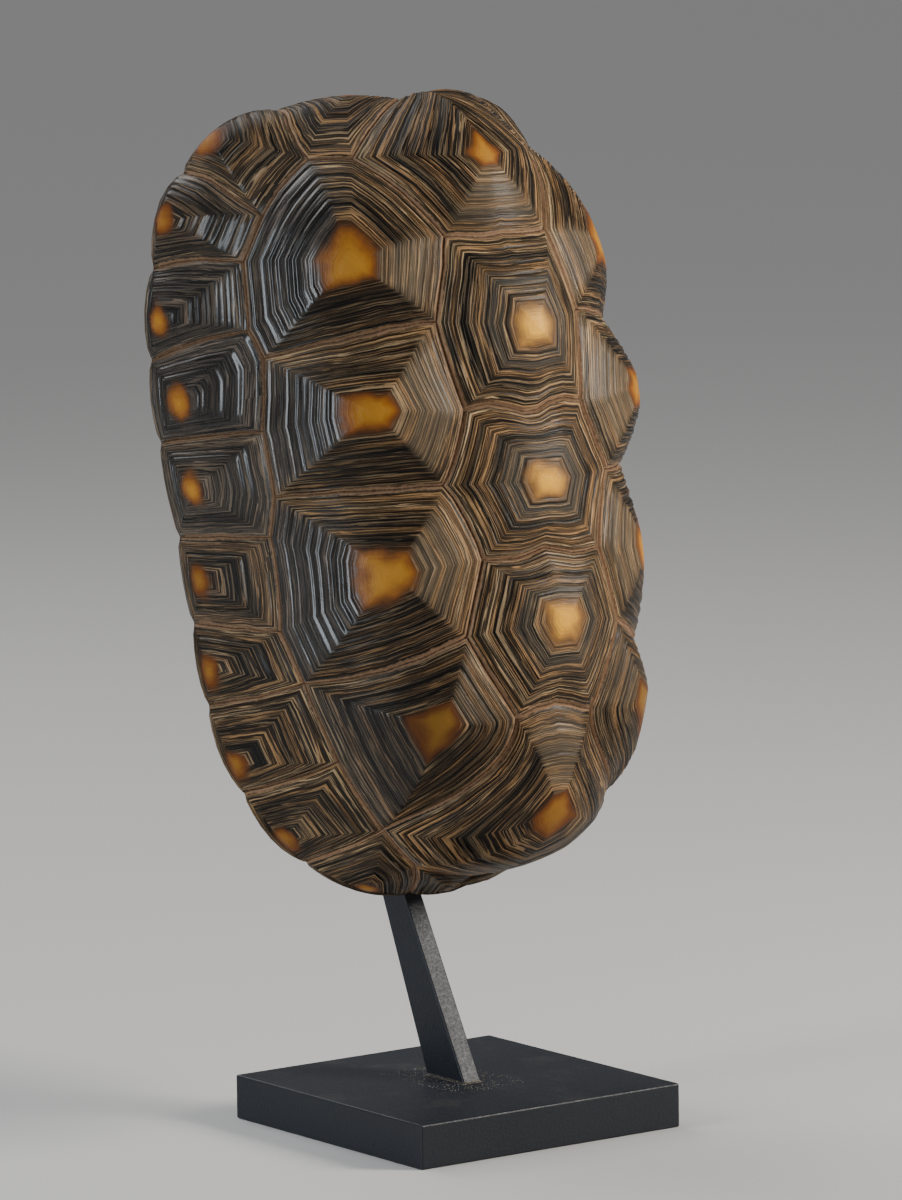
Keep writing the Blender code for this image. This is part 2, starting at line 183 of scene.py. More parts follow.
# Midline scutes: seam chain down the left half, areola along, height, areola share, paleness
VERTEBRALS = {
    "vertebral_1": (("front", "v1m1", "v1v2c1", "v1v2"), 0.520, 8.0, 0.17, 0.15),
    "vertebral_2": (("v1v2", "v1v2c1", "v2c1c2", "v2v3c2", "v2v3"), 0.238, 14.0, 0.27, 1.0),
    "vertebral_3": (("v2v3", "v2v3c2", "v3c2c3", "v3v4c3", "v3v4"), 0.002, 9.0, 0.27, 0.9),
    "vertebral_4": (("v3v4", "v3v4c3", "v4c3c4", "v4v5c4", "v4v5"), -0.217, 12.5, 0.28, 0.85),
    "vertebral_5": (("v4v5", "v4v5c4", "m10m11", "m11s", "v5s"), -0.495, 9.0, 0.19, -0.35),
    "supracaudal": (("v5s", "m11s", "rim11", "rim12"), -0.950, 2.0, 0.2, 0.3),
}
# Paired scutes: seam polygon, areola place, height, areola share or size in mm, paleness
PAIRED = {
    "costal_1": (
        ("v1v2c1", "v2c1c2", "c1c2", "m4m5", "m3m4", "m2m3", "c1m1", "v1m1"),
        (0.349, 0.325),
        8.5,
        0.30,
        0.15,
    ),
    "costal_2": (
        ("v2c1c2", "c1c2", "m5m6", "c2c3", "v3c2c3", "v2v3c2"),
        (0.405, 0.116),
        13.0,
        0.27,
        0.1,
    ),
    "costal_3": (
        ("v3c2c3", "c2c3", "m6m7", "m7m8", "c3c4", "v4c3c4", "v3v4c3"),
        (0.423, -0.141),
        9.0,
        0.30,
        0.2,
    ),
    "costal_4": (
        ("v4c3c4", "c3c4", "m9m10", "m10m11", "v4v5c4"),
        (0.292, -0.331),
        9.0,
        0.25,
        -0.5,
    ),
    "marginal_1": (("front", "v1m1", "c1m1", "rim1", "rim0"), (13.0, 0.960), 2.0, 6.0, 0.2),
    "marginal_2": (("c1m1", "m2m3", "rim2", "rim1"), (40.0, 0.965), 2.5, 10.0, 0.0),
    "marginal_3": (("m2m3", "m3m4", "rim3", "rim2"), (53.0, 0.965), 3.0, 8.5, -0.2),
    "marginal_4": (("m3m4", "m4m5", "rim4", "rim3"), (65.5, 0.950), 2.5, 8.5, 0.15),
    "marginal_5": (("m4m5", "c1c2", "m5m6", "rim5", "rim4"), (76.6, 0.905), 2.5, 9.0, 0.15),
    "marginal_6": (("m5m6", "c2c3", "m6m7", "rim6", "rim5"), (89.5, 0.910), 2.5, 9.0, 0.2),
    "marginal_7": (("m6m7", "m7m8", "rim7", "rim6"), (102.2, 0.940), 2.5, 8.5, -0.3),
    "marginal_8": (("m7m8", "c3c4", "rim8", "rim7"), (114.0, 0.955), 2.5, 8.5, -0.3),
    "marginal_9": (("c3c4", "m9m10", "rim9", "rim8"), (127.0, 0.955), 2.5, 8.5, -0.3),
    "marginal_10": (("m9m10", "m10m11", "rim10", "rim9"), (140.0, 0.950), 2.5, 8.5, -0.3),
    "marginal_11": (("m10m11", "m11s", "rim11", "rim10"), (159.0, 0.955), 2.0, 6.0, 0.2),
}

# Sectors of the midline scutes that are worn to a plain grey brown
WORN_SECTORS = (("vertebral_1", "v1v2c1", "v1v2"), ("vertebral_5", "v4v5", "v4v5c4"))
WORN_SHARE = -0.8
# Shine of the outer sectors: on the last costal, and on rim scutes about an angle from the head
LAST_COSTAL_GLOSS = 0.5
RIM_GLOSS_AT = 76
RIM_GLOSS_REACH = 26
# Growth values: how far apart scutes start, and each drift's share of a year and reach in mm
SCUTE_SEED_GAP = 40.0
DRIFTS = ((0.36, 24.0), (0.12, 6.0))
# Rings swell towards a convex outline: by what share, between which ring places, and at most
HULL_SHARE = 0.9
HULL_PLACES = (0.95, 0.3)
HULL_MOST = 1.4
CORE_PLACE = 0.12
NEAR_CROWN = 0.3
NEWTON_STEPS = 8
NEWTON_REACH = 0.02
ON_MIDLINE = 1e-6
ON_RIM = 0.9999

# Stand
POST_THICK = 10.0
POST_FOOT = (-12.7, 17.0)

# Felt: its rounded edge, how much its fibres stand in and out, and their fineness
FELT_EDGE = 0.8
FELT_FUZZ = 0.12
FUZZ_PITCH = 900.0

# Screws under the plate, in mm; their length and head width come from the frame
SCREW_COUNT = 2
SCREW_SHANK = 1.95
SCREW_HEAD_DEPTH = 2.8
RECESS_DEPTH = 0.9
THREAD_PITCH = 0.7
THREAD_START = 3.2
THREAD_SPARE = 4.0

# Dust round the foot of the bar: how far it reaches, its gap to the bar and its lift off the plate
DUST_REACH = 16.0
DUST_GAP = 0.3
DUST_LIFT = 0.04
# A grain's least and most stretch on each axis, and its most turn about each
GRAIN_LEAST = (0.4, 0.4, 0.25)
GRAIN_MOST = (1.5, 1.3, 0.8)
GRAIN_TURN = (0.6, 0.6, 6.28)

# Camera: direction from the object, distance, and where the row origin sits in its view
CAMERA_AZIMUTH = math.radians(-36.14)
CAMERA_ELEVATION = math.radians(7.99)
CAMERA_ROLL = math.radians(-0.71)
CAMERA_DISTANCE = 3.5
CAMERA_RIGHT = 0.0029
CAMERA_UP = -0.2471
CAMERA_LENS = 222.0
CAMERA_SENSOR = 36.0

# Floor and light: each lamp's place, size and colour
FLOOR_REACH = 25.0
LIGHT_AIM = (0.0, 0.0, 0.28)
KEY_LIGHT = ((1.2, -1.25, 1.0), (0.55, 0.7), (1.0, 0.95, 0.88))
FILL_LIGHT = ((-1.6, 0.1, 0.65), (0.3, 1.3), (0.84, 0.92, 1.0))
BACK_LIGHT = ((-0.2, 1.7, 1.5), (1.4, 1.0), (1.0, 1.0, 1.0))
BACK_SHARE = 0.8
WORLD_COLOUR = (0.80, 0.82, 0.86)
WORLD_STRENGTH = 0.20
SKY_STRENGTH = 0.7
SKY_ANGLE = math.radians(40)
SKY_TURN = (math.radians(-32), 0.0, math.radians(10))


def mm_property(name, description, default, top):
    """A length that is given here in millimetres and kept in metres."""
    return FloatProperty(
        name=name,
        description=description,
        default=default * MM,
        min=0.0,
        max=top * MM,
        precision=5,
        subtype="DISTANCE",
    )


def colour_property(name, description, default):
    return FloatVectorProperty(
        name=name, description=description, default=default, min=0.0, max=1.0, subtype="COLOR"
    )


class ShellSettings(bpy.types.PropertyGroup):
    ridge_depth: mm_property("Ridge depth", "Height of the growth ridges", 0.75, 3)
    seam_depth: mm_property("Seam depth", "Depth of the grooves between scutes", 1.1, 4)
    seam_width: mm_property("Seam width", "Half width of those grooves", 1.5, 6)
    seed: IntProperty(name="Seed", description="Which growth rings are deep", default=7, min=0)
    horn: colour_property("Dark horn", "The horn between growth lines", (0.004, 0.003, 0.0025))
    line: colour_property("Growth line", "The pale growth lines", (0.60, 0.41, 0.22))
    amber: colour_property("Amber", "The middle of a side scute", (0.34, 0.145, 0.016))
    peach: colour_property("Peach", "The middle of a top scute", (0.86, 0.43, 0.040))
    bone: colour_property("Bone", "The inside of the carapace", (0.60, 0.49, 0.34))


class StandSettings(bpy.types.PropertyGroup):
    coat: colour_property("Coat", "Powder coat of the bar and plates", (0.008, 0.010, 0.014))
    felt: colour_property("Felt", "The pad behind the shell", (0.02, 0.02, 0.022))
    zinc: colour_property("Zinc", "The screws under the plate", (0.60, 0.61, 0.62))
    dust: colour_property("Dust", "Dust at the foot of the bar", (0.42, 0.36, 0.29))
    grain_size: mm_property("Grain size", "Radius of a speck of dust", 0.2, 2)
    grains: IntProperty(name="Grains", description="Specks of dust", default=420, min=0, max=4000)


class StageSettings(bpy.types.PropertyGroup):
    floor: colour_property("Floor", "The floor's colour", (0.58, 0.572, 0.56))
    key_power: FloatProperty(
        name="Key light", description="Power of the main light", default=50.0, unit="POWER"
    )
    fill_power: FloatProperty(
        name="Fill light", description="Power of the left light", default=18.0, unit="POWER"
    )


# ---------------------------------------------------------------- shader and geometry graphs


class Value:
    """A float socket that takes part in arithmetic by adding Math nodes."""

    def __init__(self, graph, socket):
        self.graph = graph
        self.socket = socket

    def _math(self, operation, *values):
        return self.graph.math(operation, *values)

    def __add__(self, other):
        return self._math("ADD", self, other)

    def __radd__(self, other):
        return self._math("ADD", other, self)

    def __sub__(self, other):
        return self._math("SUBTRACT", self, other)

    def __rsub__(self, other):
        return self._math("SUBTRACT", other, self)

    def __mul__(self, other):
        return self._math("MULTIPLY", self, other)

    def __rmul__(self, other):
        return self._math("MULTIPLY", other, self)

    def __truediv__(self, other):
        return self._math("DIVIDE", self, other)

    def clamped(self):
        return self.graph.ramp(self, 0.0, 1.0, smooth=False)


class Graph:
    """A node tree that is filled by expressions."""

    def __init__(self, tree):
        self.tree = tree

    def node(self, kind, settings=None, inputs=None):
        """Adds a node: its settings are set first, then its sockets by name or index."""
        made = self.tree.nodes.new(kind)
        for name, value in (settings or {}).items():
            setattr(made, name, value)
        for key, value in (inputs or {}).items():
            self.put(made.inputs[key], value)
        return made

    def put(self, socket, value):
        if isinstance(value, Value):
            value = value.socket
        if isinstance(value, bpy.types.NodeSocket):
            self.tree.links.new(value, socket)
        elif socket.type == "RGBA" and len(value) == 3:
            socket.default_value = (*value, 1.0)
        else:
            socket.default_value = value

    def math(self, operation, *values):
        inputs = dict(enumerate(values))
        return Value(self, self.node("ShaderNodeMath", {"operation": operation}, inputs).outputs[0])

    def ramp(self, value, low, high, to_low=0.0, to_high=1.0, smooth=True):
        """value from low..high onto to_low..to_high, clamped."""
        style = "SMOOTHSTEP" if smooth else "LINEAR"
        inputs = {0: value, 1: low, 2: high, 3: to_low, 4: to_high}
        made = self.node("ShaderNodeMapRange", {"interpolation_type": style}, inputs)
        return Value(self, made.outputs[0])

    def mix(self, share, first, second):
        inputs = {0: share, 6: first, 7: second}
        return self.node("ShaderNodeMix", {"data_type": "RGBA"}, inputs).outputs[2]

    def lines(self, place, detail=1.0):
        """Noise along one number, so that it makes lines where that number is constant."""
        inputs = {"W": place, "Scale": 1.0, "Detail": detail, "Roughness": 0.5}
        made = self.node("ShaderNodeTexNoise", {"noise_dimensions": "1D"}, inputs)
        return Value(self, made.outputs[0])


class Finish(Graph):
    """A Principled material under construction."""

    def __init__(self, name, **constants):
        self.material = bpy.data.materials.new(name)
        self.material.use_nodes = True
        super().__init__(self.material.node_tree)
        self.shader = self.tree.nodes["Principled BSDF"]
        for key, value in constants.items():
            name = key.replace("_", " ").title().replace("Ior", "IOR")
            self.put(self.shader.inputs[name], value)
        self.place = self.node("ShaderNodeTexCoord").outputs["Object"]

    def attribute(self, name):
        made = self.node("ShaderNodeAttribute", {"attribute_name": name})
        return Value(self, made.outputs["Fac"])

    def set(self, name, value):
        self.put(self.shader.inputs[name], value)

    def bump(self, height, depth_mm, strength):
        inputs = {"Height": height, "Distance": depth_mm * MM, "Strength": strength}
        self.set("Normal", self.node("ShaderNodeBump", None, inputs).outputs[0])

    def noise(self, scale, detail, rough):
        inputs = {"Vector": self.place, "Scale": scale, "Detail": detail, "Roughness": rough}
        return Value(self, self.node("ShaderNodeTexNoise", None, inputs).outputs[0])

    def bands(self, growth, pace, stretch):
        """Noise that changes pace times per growth year, and slowly along a growth line."""
        inputs = {
            "Vector": self.place,
            "W": growth * (pace / stretch),
            "Scale": stretch,
            "Detail": 1.0,
            "Roughness": 0.5,
        }
        made = self.node("ShaderNodeTexNoise", {"noise_dimensions": "4D"}, inputs)
        return Value(self, made.outputs[0])

    def thread(self, value, core, edge):
        """A thin line where value crosses one half."""
        return self.ramp(self.math("ABSOLUTE", value - 0.5), core, edge, 1.0, 0.0)

    def axis(self, index):
        split = self.node("ShaderNodeSeparateXYZ", None, {0: self.place})
        return Value(self, split.outputs[index])


# ---------------------------------------------------------------- the carapace's shape


def rim_chart(degrees, radius=1.0):
    """Chart point at an angle round from the head end, on the animal's left."""
    turn = math.radians(degrees)
    return (-radius * math.sin(turn), radius * math.cos(turn))


def corner(name, side):
    """Chart point of a named corner; side is -1 for the animal's left, +1 for its right."""
    if name in MIDLINE:
        return (0.0, MIDLINE[name])
    if name.startswith("rim"):
        degrees = (0, *RIM_SEAMS, 180)[int(name[3:])]
        across, along = rim_chart(degrees)
        return (-side * across if 0 < degrees < 180 else 0.0, along)
    across, along = CORNERS[name]
    return (side * across, along)


def crowded(count):
    """Shares from 0 to 1, closer together near the ends, without the last one."""
    steps = np.arange(count) / count
    return 0.45 * steps + 0.55 * (0.5 - 0.5 * np.cos(math.pi * steps))


def seam_path(first, second, side):
    """Chart points from one corner to the next, without the last one."""
    start, end = corner(first, side), corner(second, side)
    if first.startswith("rim") and second.startswith("rim"):
        from_angle = math.atan2(start[0], start[1])
        to_angle = math.atan2(end[0], end[1])
        if abs(to_angle - from_angle) > math.pi:
            to_angle -= math.copysign(2 * math.pi, to_angle - from_angle)
        count = max(2, round(abs(to_angle - from_angle) / SEAM_STEP))
        turns = from_angle + (to_angle - from_angle) * crowded(count)
        return [(math.sin(turn), math.cos(turn)) for turn in turns]
    if first > second:
        there = seam_path(second, first, side)
        return [start, *reversed(there[1:])]
    points = [start, end]
    bow = BOWED.get((first, second)) or BOWED.get((second, first))
    if bow is not None:
        inner = [(side * across, along) for across, along in bow]
        points = [start, *(inner if (first, second) in BOWED else reversed(inner)), end]
    length = sum(math.dist(p, q) for p, q in zip(points, points[1:]))
    count = max(3, round(length / SEAM_STEP))
    path = []
    for share in crowded(count):
        spot = bezier(points, share)
        sway = SEAM_WANDER * min(1.0, 6 * share, 6 * (1 - share))
        push = noise.noise_vector(Vector((spot[0] * 22, spot[1] * 22, 3.7)))
        middle = 0.0 if abs(spot[0]) < ON_MIDLINE else 1.0
        path.append((spot[0] + sway * push.x * middle, spot[1] + sway * push.y))
    return path


def bezier(points, share):
    while len(points) > 1:
        points = [
            tuple(p + (q - p) * share for p, q in zip(one, two))
            for one, two in zip(points, points[1:])
        ]
    return points[0]


def scutes():
    """Every scute as (kind, boundary, sectors, areola, height, areola size, paleness)."""
    for name, (chain, along, height, size, pale) in VERTEBRALS.items():
        left, right, worn = [], [], []
        for first, second in zip(chain, chain[1:]):
            left += seam_path(first, second, -1)
            right += seam_path(first, second, 1)
            share = WORN_SHARE if (name, first, second) in WORN_SECTORS else 0.0
            worn += [share] * (len(left) - len(worn))
        left.append(corner(chain[-1], -1))
        worn.append(worn[-1])
        kept = [index for index, p in enumerate(right) if abs(p[0]) > ON_MIDLINE][::-1]
        whole = left + [right[index] for index in kept]
        sectors = np.array(worn + [worn[index] for index in kept])
        kind = "marginal" if name == "supracaudal" else "vertebral"
        yield kind, whole, sectors, (0.0, along), height, size, pale
    for name, (chain, centre, height, size, pale) in PAIRED.items():
        kind = name.split("_")[0]
        gloss = LAST_COSTAL_GLOSS if name == "costal_4" else 1.0
        if kind == "marginal":
            gloss = math.exp(-(((centre[0] - RIM_GLOSS_AT) / RIM_GLOSS_REACH) ** 2))
            across, along = rim_chart(*centre)
            centre = (-across, along)
        for side in (-1, 1):
            boundary, sectors = [], []
            for index, first in enumerate(chain):
                second = chain[(index + 1) % len(chain)]
                path = seam_path(first, second, side)
                boundary += path
                sectors += [sector(kind, first, second) * gloss] * len(path)
            starts = np.array(sectors)
            starts = (starts + np.roll(starts, 1)) / 2
            yield kind, boundary, starts, (side * centre[0], centre[1]), height, size, pale


def sector(kind, first, second):
    """1 for a sector towards the rim, -1 for one towards the midline, 0 between them."""
    if kind == "marginal" or not (first.startswith("v") or second.startswith("v")):
        return 1.0
    return -1.0 if first[0] == second[0] == "v" and "c" in first and "c" in second else 0.0


def swell(degrees):
    """Outward swelling of the rim between two seams, at angles from the head end."""
    angles = np.array((0, *RIM_SEAMS, 180), float)
    sizes = np.array(RIM_SWELL)
    index = np.clip(np.searchsorted(angles, degrees, "right") - 1, 0, len(sizes) - 1)
    low = angles[index]
    high = np.where(index == len(sizes) - 1, 360 - low, angles[index + 1])
    arch = np.sin(math.pi * (degrees - low) / (high - low))
    return sizes[index] * np.maximum(arch, 0.0) ** 0.8


def dome(chart):
    """Points of the plain dome, in the shell's frame, for rows of chart points."""
    a, b = chart[:, 0], chart[:, 1]
    r = np.maximum(np.hypot(a, b), 1e-6)
    b = np.where(r > 1.1e-6, b, 1e-6)
    c, s = a / r, b / r
    ahead = s > 0
    length = np.where(ahead, FRONT_LENGTH, REAR_LENGTH)
    square = np.where(ahead, FRONT_SQUARENESS, REAR_SQUARENESS)
    rise = np.where(ahead, FRONT_RISE, REAR_RISE) * np.abs(s) ** 3
    reach = (np.abs(c) ** square + np.abs(s) ** square) ** (-1 / square)
    along = length * s * reach
    waist = WAIST * np.exp(-(((along - WAIST_AT) / WAIST_REACH) ** 2))
    across = HALF_WIDTH * c * reach * (1 + SHOULDER_SPREAD * s - waist)
    power = SIDE_ROUND + ROUND_TAPER * s
    power += (np.where(ahead, FRONT_ROUND, REAR_ROUND) - SIDE_ROUND) * s * s
    power += np.where(ahead, FRONT_CORNER, REAR_CORNER) * (2 * s * c) ** 2
    turn = math.pi / 2 * np.minimum(r, 1.0)
    out, up = np.sin(turn), np.maximum(np.cos(turn), 0.0)
    norm = (out**power + up**power) ** (1 / power)
    out, up = out / norm, up / norm
    flare = SIDE_FLARE + (np.where(ahead, FRONT_FLARE, REAR_FLARE) - SIDE_FLARE) * s * s
    degrees = np.abs(np.degrees(np.arctan2(a, b)))
    flare = flare + swell(degrees) * np.maximum(1 - (1 - r) / SWELL_REACH, 0.0)
    spread = (np.maximum(r - FLARE_START, 0.0) / FLARE_REACH) ** 2
    out = out + flare / np.hypot(across, along) * spread
    x = across * out
    notch = NOTCH_DEPTH * np.exp(-((x / NOTCH_REACH) ** 2)) * r**8
    l = CROWN_SHIFT * np.maximum(1 - out, 0.0) + along * out - np.where(ahead, notch, 0.0)
    drop = np.exp(-(((r - QUARTER_PLACE) / QUARTER_REACH) ** 2))
    drop = drop * np.exp(-(((degrees - QUARTER_TURN) / QUARTER_SPREAD) ** 2))
    d = rise * (1 - up) + CROWN_HEIGHT * up - QUARTER_DROP * drop
    return np.stack([x, l, d], -1)


def dome_normal(chart):
    """Outward normals of the plain dome."""
    r = np.hypot(chart[:, 0], chart[:, 1])
    chart = chart * np.minimum(1.0, 0.994 / np.maximum(r, 1e-9))[:, None]
    step = 0.003
    side = dome(chart + [step, 0]) - dome(chart - [step, 0])
    ahead = dome(chart + [0, step]) - dome(chart - [0, step])
    normal = np.cross(side, ahead)
    return normal / np.linalg.norm(normal, axis=1, keepdims=True)


def to_row_frame(points):
    """Points of the shell's frame, in mm, as metres in the frame of the whole object."""
    x, l, d = points.T
    y = RIM_CENTRE_Y + l * math.sin(LEAN) - d * math.cos(LEAN)
    z = RIM_CENTRE_Z + l * math.cos(LEAN) + d * math.sin(LEAN)
    return np.stack([x, y, z], -1) * MM


def seam_distance(points, seam):
    """Distance to the nearest of the lines that drop from a seam's points to the shell's middle."""
    span = -seam
    length = (span**2).sum(1)
    share = np.einsum("psk,sk->ps", points[:, None] - seam[None], span) / length
    near = seam[None] + np.clip(share, 0, 1)[..., None] * span[None]
    return np.linalg.norm(points[:, None] - near, axis=2).min(1)


def wobble(points, reach, seed):
    """Smooth noise from -1 to 1 at points in millimetres."""
    scaled = points / reach + seed
    return np.array([noise.noise(Vector(p)) for p in scaled])


def smoothstep(low, high, value):
    t = np.clip((value - low) / (high - low), 0, 1)
    return t * t * (3 - 2 * t)


class ShellMesh:
    """Collects the carapace's points, faces and point attributes."""

    NAMES = "growth ring_place seam_mm areola pale outer inner shaded bone".split()

    def __init__(self):
        self.points = []
        self.values = []
        self.faces = []
        self.count = 0
        self.shared = {}

    def add(self, points, **values):
        rows = np.zeros((len(points), len(self.NAMES)))
        for name, value in values.items():
            rows[:, self.NAMES.index(name)] = value
        self.points.append(points)
        self.values.append(rows)
        start = self.count
        self.count += len(points)
        return np.arange(start, self.count)

    def values_at(self, indices, *names):
        rows = np.concatenate(self.values)[indices]
        return (rows[:, self.NAMES.index(name)] for name in names)

    def strip(self, first, second):
        after, beside = np.roll(first, -1), np.roll(second, -1)
        self.faces.append(np.stack([first, after, beside, second], 1))

    def build(self, name):
        mesh = bpy.data.meshes.new(name)
        points = to_row_frame(np.concatenate(self.points))
        quads = np.concatenate([f for f in self.faces if f.shape[1] == 4])
        fans = np.concatenate([f for f in self.faces if f.shape[1] == 3])
        mesh.from_pydata(points.tolist(), [], quads.tolist() + fans.tolist())
        rows = np.concatenate(self.values)
        for index, attribute in enumerate(self.NAMES):
            layer = mesh.attributes.new(attribute, "FLOAT", "POINT")
            layer.data.foreach_set("value", rows[:, index].astype(np.float32))
        return mesh


def ring_shares(count):
    """Where the rings of a scute lie, from just inside the seam to beside the areola's centre."""
    return np.concatenate([SEAM_RINGS, np.linspace(*INNER_RINGS, count - len(SEAM_RINGS))])


def relief(place):
    """Height share of a scute at ring place 0 (areola) to 1 (seam): a blunt pyramid."""
    slope = 1 - place**1.3
    return slope - 0.05 * smoothstep(0.22, 0.0, place)


def sector_shade(kind, edge, centre):
    """How dark a scute's sectors are: painted shade on tailward costal sectors, which face down,
    and darker shell ends.
    """
    step = np.roll(edge, -1, 0) - np.roll(edge, 1, 0)
    tailward = np.abs(step[:, 0]) / np.hypot(*step.T) * (edge[:, 1] < centre[1])
    by_end = 0.5 * (centre[1] < -0.3) + 0.35 * (centre[1] > 0.45)
    return np.maximum(smoothstep(0.6, 0.8, tailward) * (kind == "costal"), by_end)


def add_scute(shell, number, kind, boundary, sectors, centre, height, size, pale):
    """Adds one scute as rings about its areola."""
    edge = np.array(boundary)
    centre = np.array(centre)
    on_rim = np.hypot(*edge.T) > ON_RIM
    flat = dome(edge)
    seam = flat[~(on_rim & np.roll(on_rim, -1))]
    years = YEARS[kind]
    seed = SCUTE_SEED_GAP * (number + 1)
    core = dome(centre[None])[0]
    # Round the crown the chart is crowded, so rings there are spaced by place and not by chart
    by_place = kind == "vertebral" and np.hypot(*centre) < NEAR_CROWN
    if by_place:
        full = HULL_SHARE * (hull_radii(flat[:, :2], core[:2]) - 1)
    else:
        full = HULL_SHARE * (hull_radii(edge, centre) - 1)
    loops = []
    # Painted shade for the tailward costal sectors, which face down; the shell's ends are darker
    # too
    shade = sector_shade(kind, edge, centre)
    keys = [(round(p[0], 5), round(p[1], 5)) for p in boundary]
    fresh = [i for i, key in enumerate(keys) if key not in shell.shared]
    if fresh:
        spots = flat[fresh]
        made = shell.add(
            spots,
            growth=seed,
            ring_place=1.0,
            seam_mm=seam_distance(spots, seam),
            areola=areola_mask(kind, 1.0, spots, core, size),
            pale=pale,
        )
        shell.shared.update((keys[i], index) for i, index in zip(fresh, made))
    loops.append(np.array([shell.shared[key] for key in keys]))
    for inward in ring_shares(RINGS[kind]):
        place = 1 - inward
        scale = (1 + full * smoothstep(*HULL_PLACES, place))[:, None]
        chart = centre + (edge - centre) * scale * place
        if by_place:
            outer_place = max(place, CORE_PLACE)
            target = core[:2] + (flat[:, :2] - core[:2]) * scale * outer_place
            chart = chart_under(target, centre + (edge - centre) * scale * outer_place)
            chart = centre + (chart - centre) * place / outer_place
        ground = dome(chart)
        drift = sum(share * wobble(ground, reach, seed) for share, reach in DRIFTS)
        points = ground + dome_normal(chart) * (height * relief(np.array(place)))
        loops.append(
            shell.add(
                points,
                growth=seed + years * inward + drift * min(1.0, 8 * inward),
                ring_place=place,
                seam_mm=seam_distance(ground, seam),
                areola=areola_mask(kind, place, ground, core, size),
                pale=pale,
                outer=np.maximum(sectors, 0),
                inner=np.maximum(-sectors, 0),
                shaded=shade,
            )
        )
    for first, second in zip(loops, loops[1:]):
        shell.strip(first, second)
    top = core + dome_normal(centre[None])[0] * height * relief(np.array(0.0))
    middle = shell.add(
        top[None], growth=seed + years, seam_mm=FAR_FROM_SEAM, areola=1.0, pale=pale
    )
    last = loops[-1]
    shell.faces.append(np.stack([last, np.roll(last, -1), np.full(len(last), middle[0])], 1))


def chart_under(target, guess):
    """Chart points whose place across and along is the target's, by Newton's method."""
    chart, step = guess.copy(), 1e-4
    for _ in range(NEWTON_STEPS):
        here = dome(chart)[:, :2]
        side = (dome(chart + [step, 0])[:, :2] - here) / step
        ahead = (dome(chart + [0, step])[:, :2] - here) / step
        miss = target - here
        area = side[:, 0] * ahead[:, 1] - side[:, 1] * ahead[:, 0]
        first = (miss[:, 0] * ahead[:, 1] - miss[:, 1] * ahead[:, 0]) / area
        second = (side[:, 0] * miss[:, 1] - side[:, 1] * miss[:, 0]) / area
        chart += np.clip(np.stack([first, second], 1), -NEWTON_REACH, NEWTON_REACH)
    return chart


def hull_radii(edge, centre):
    """How much farther the convex outline lies than each boundary point, as a ratio."""
    away = edge - centre
    order = geometry.convex_hull_2d([Vector(point) for point in away])
    corners = away[order]
    along = np.roll(corners, -1, 0) - corners
    normal = np.stack([along[:, 1], -along[:, 0]], 1)
    reach = (normal * corners).sum(1)
    normal *= np.sign(reach)[:, None]
    facing = away @ normal.T
    ratio = np.abs(reach)[None] / np.where(facing > 1e-9, facing, 1e-9)
    return np.clip(ratio.min(1), 1.0, HULL_MOST)


def areola_mask(kind, place, spots, core, size):
    """1 inside the areola to 0 outside it: by distance on a rim scute, by ring place elsewhere."""
    if kind == "marginal":
        away = spots - core
        outward = core[:2] / np.hypot(*core[:2])
        radial = away[:, :2] @ outward
        run = away[:, :2] @ np.array([-outward[1], outward[0]])
        radial = np.where(radial > 0, 0.4, 1.25) * radial
        reach = np.sqrt(radial**2 + (0.75 * run) ** 2 + (0.8 * away[:, 2]) ** 2)
        reach = reach * (1 + 0.3 * wobble(spots, 8.0, 2.0))
        return 0.92 * (1 - smoothstep(0.0, size * 1.35, reach))
    ragged = place + 0.06 * wobble(spots, 8.0, 5.0) * min(1.0, 5 * place)
    return 1 - smoothstep(size * 0.10, size * 1.65, ragged)


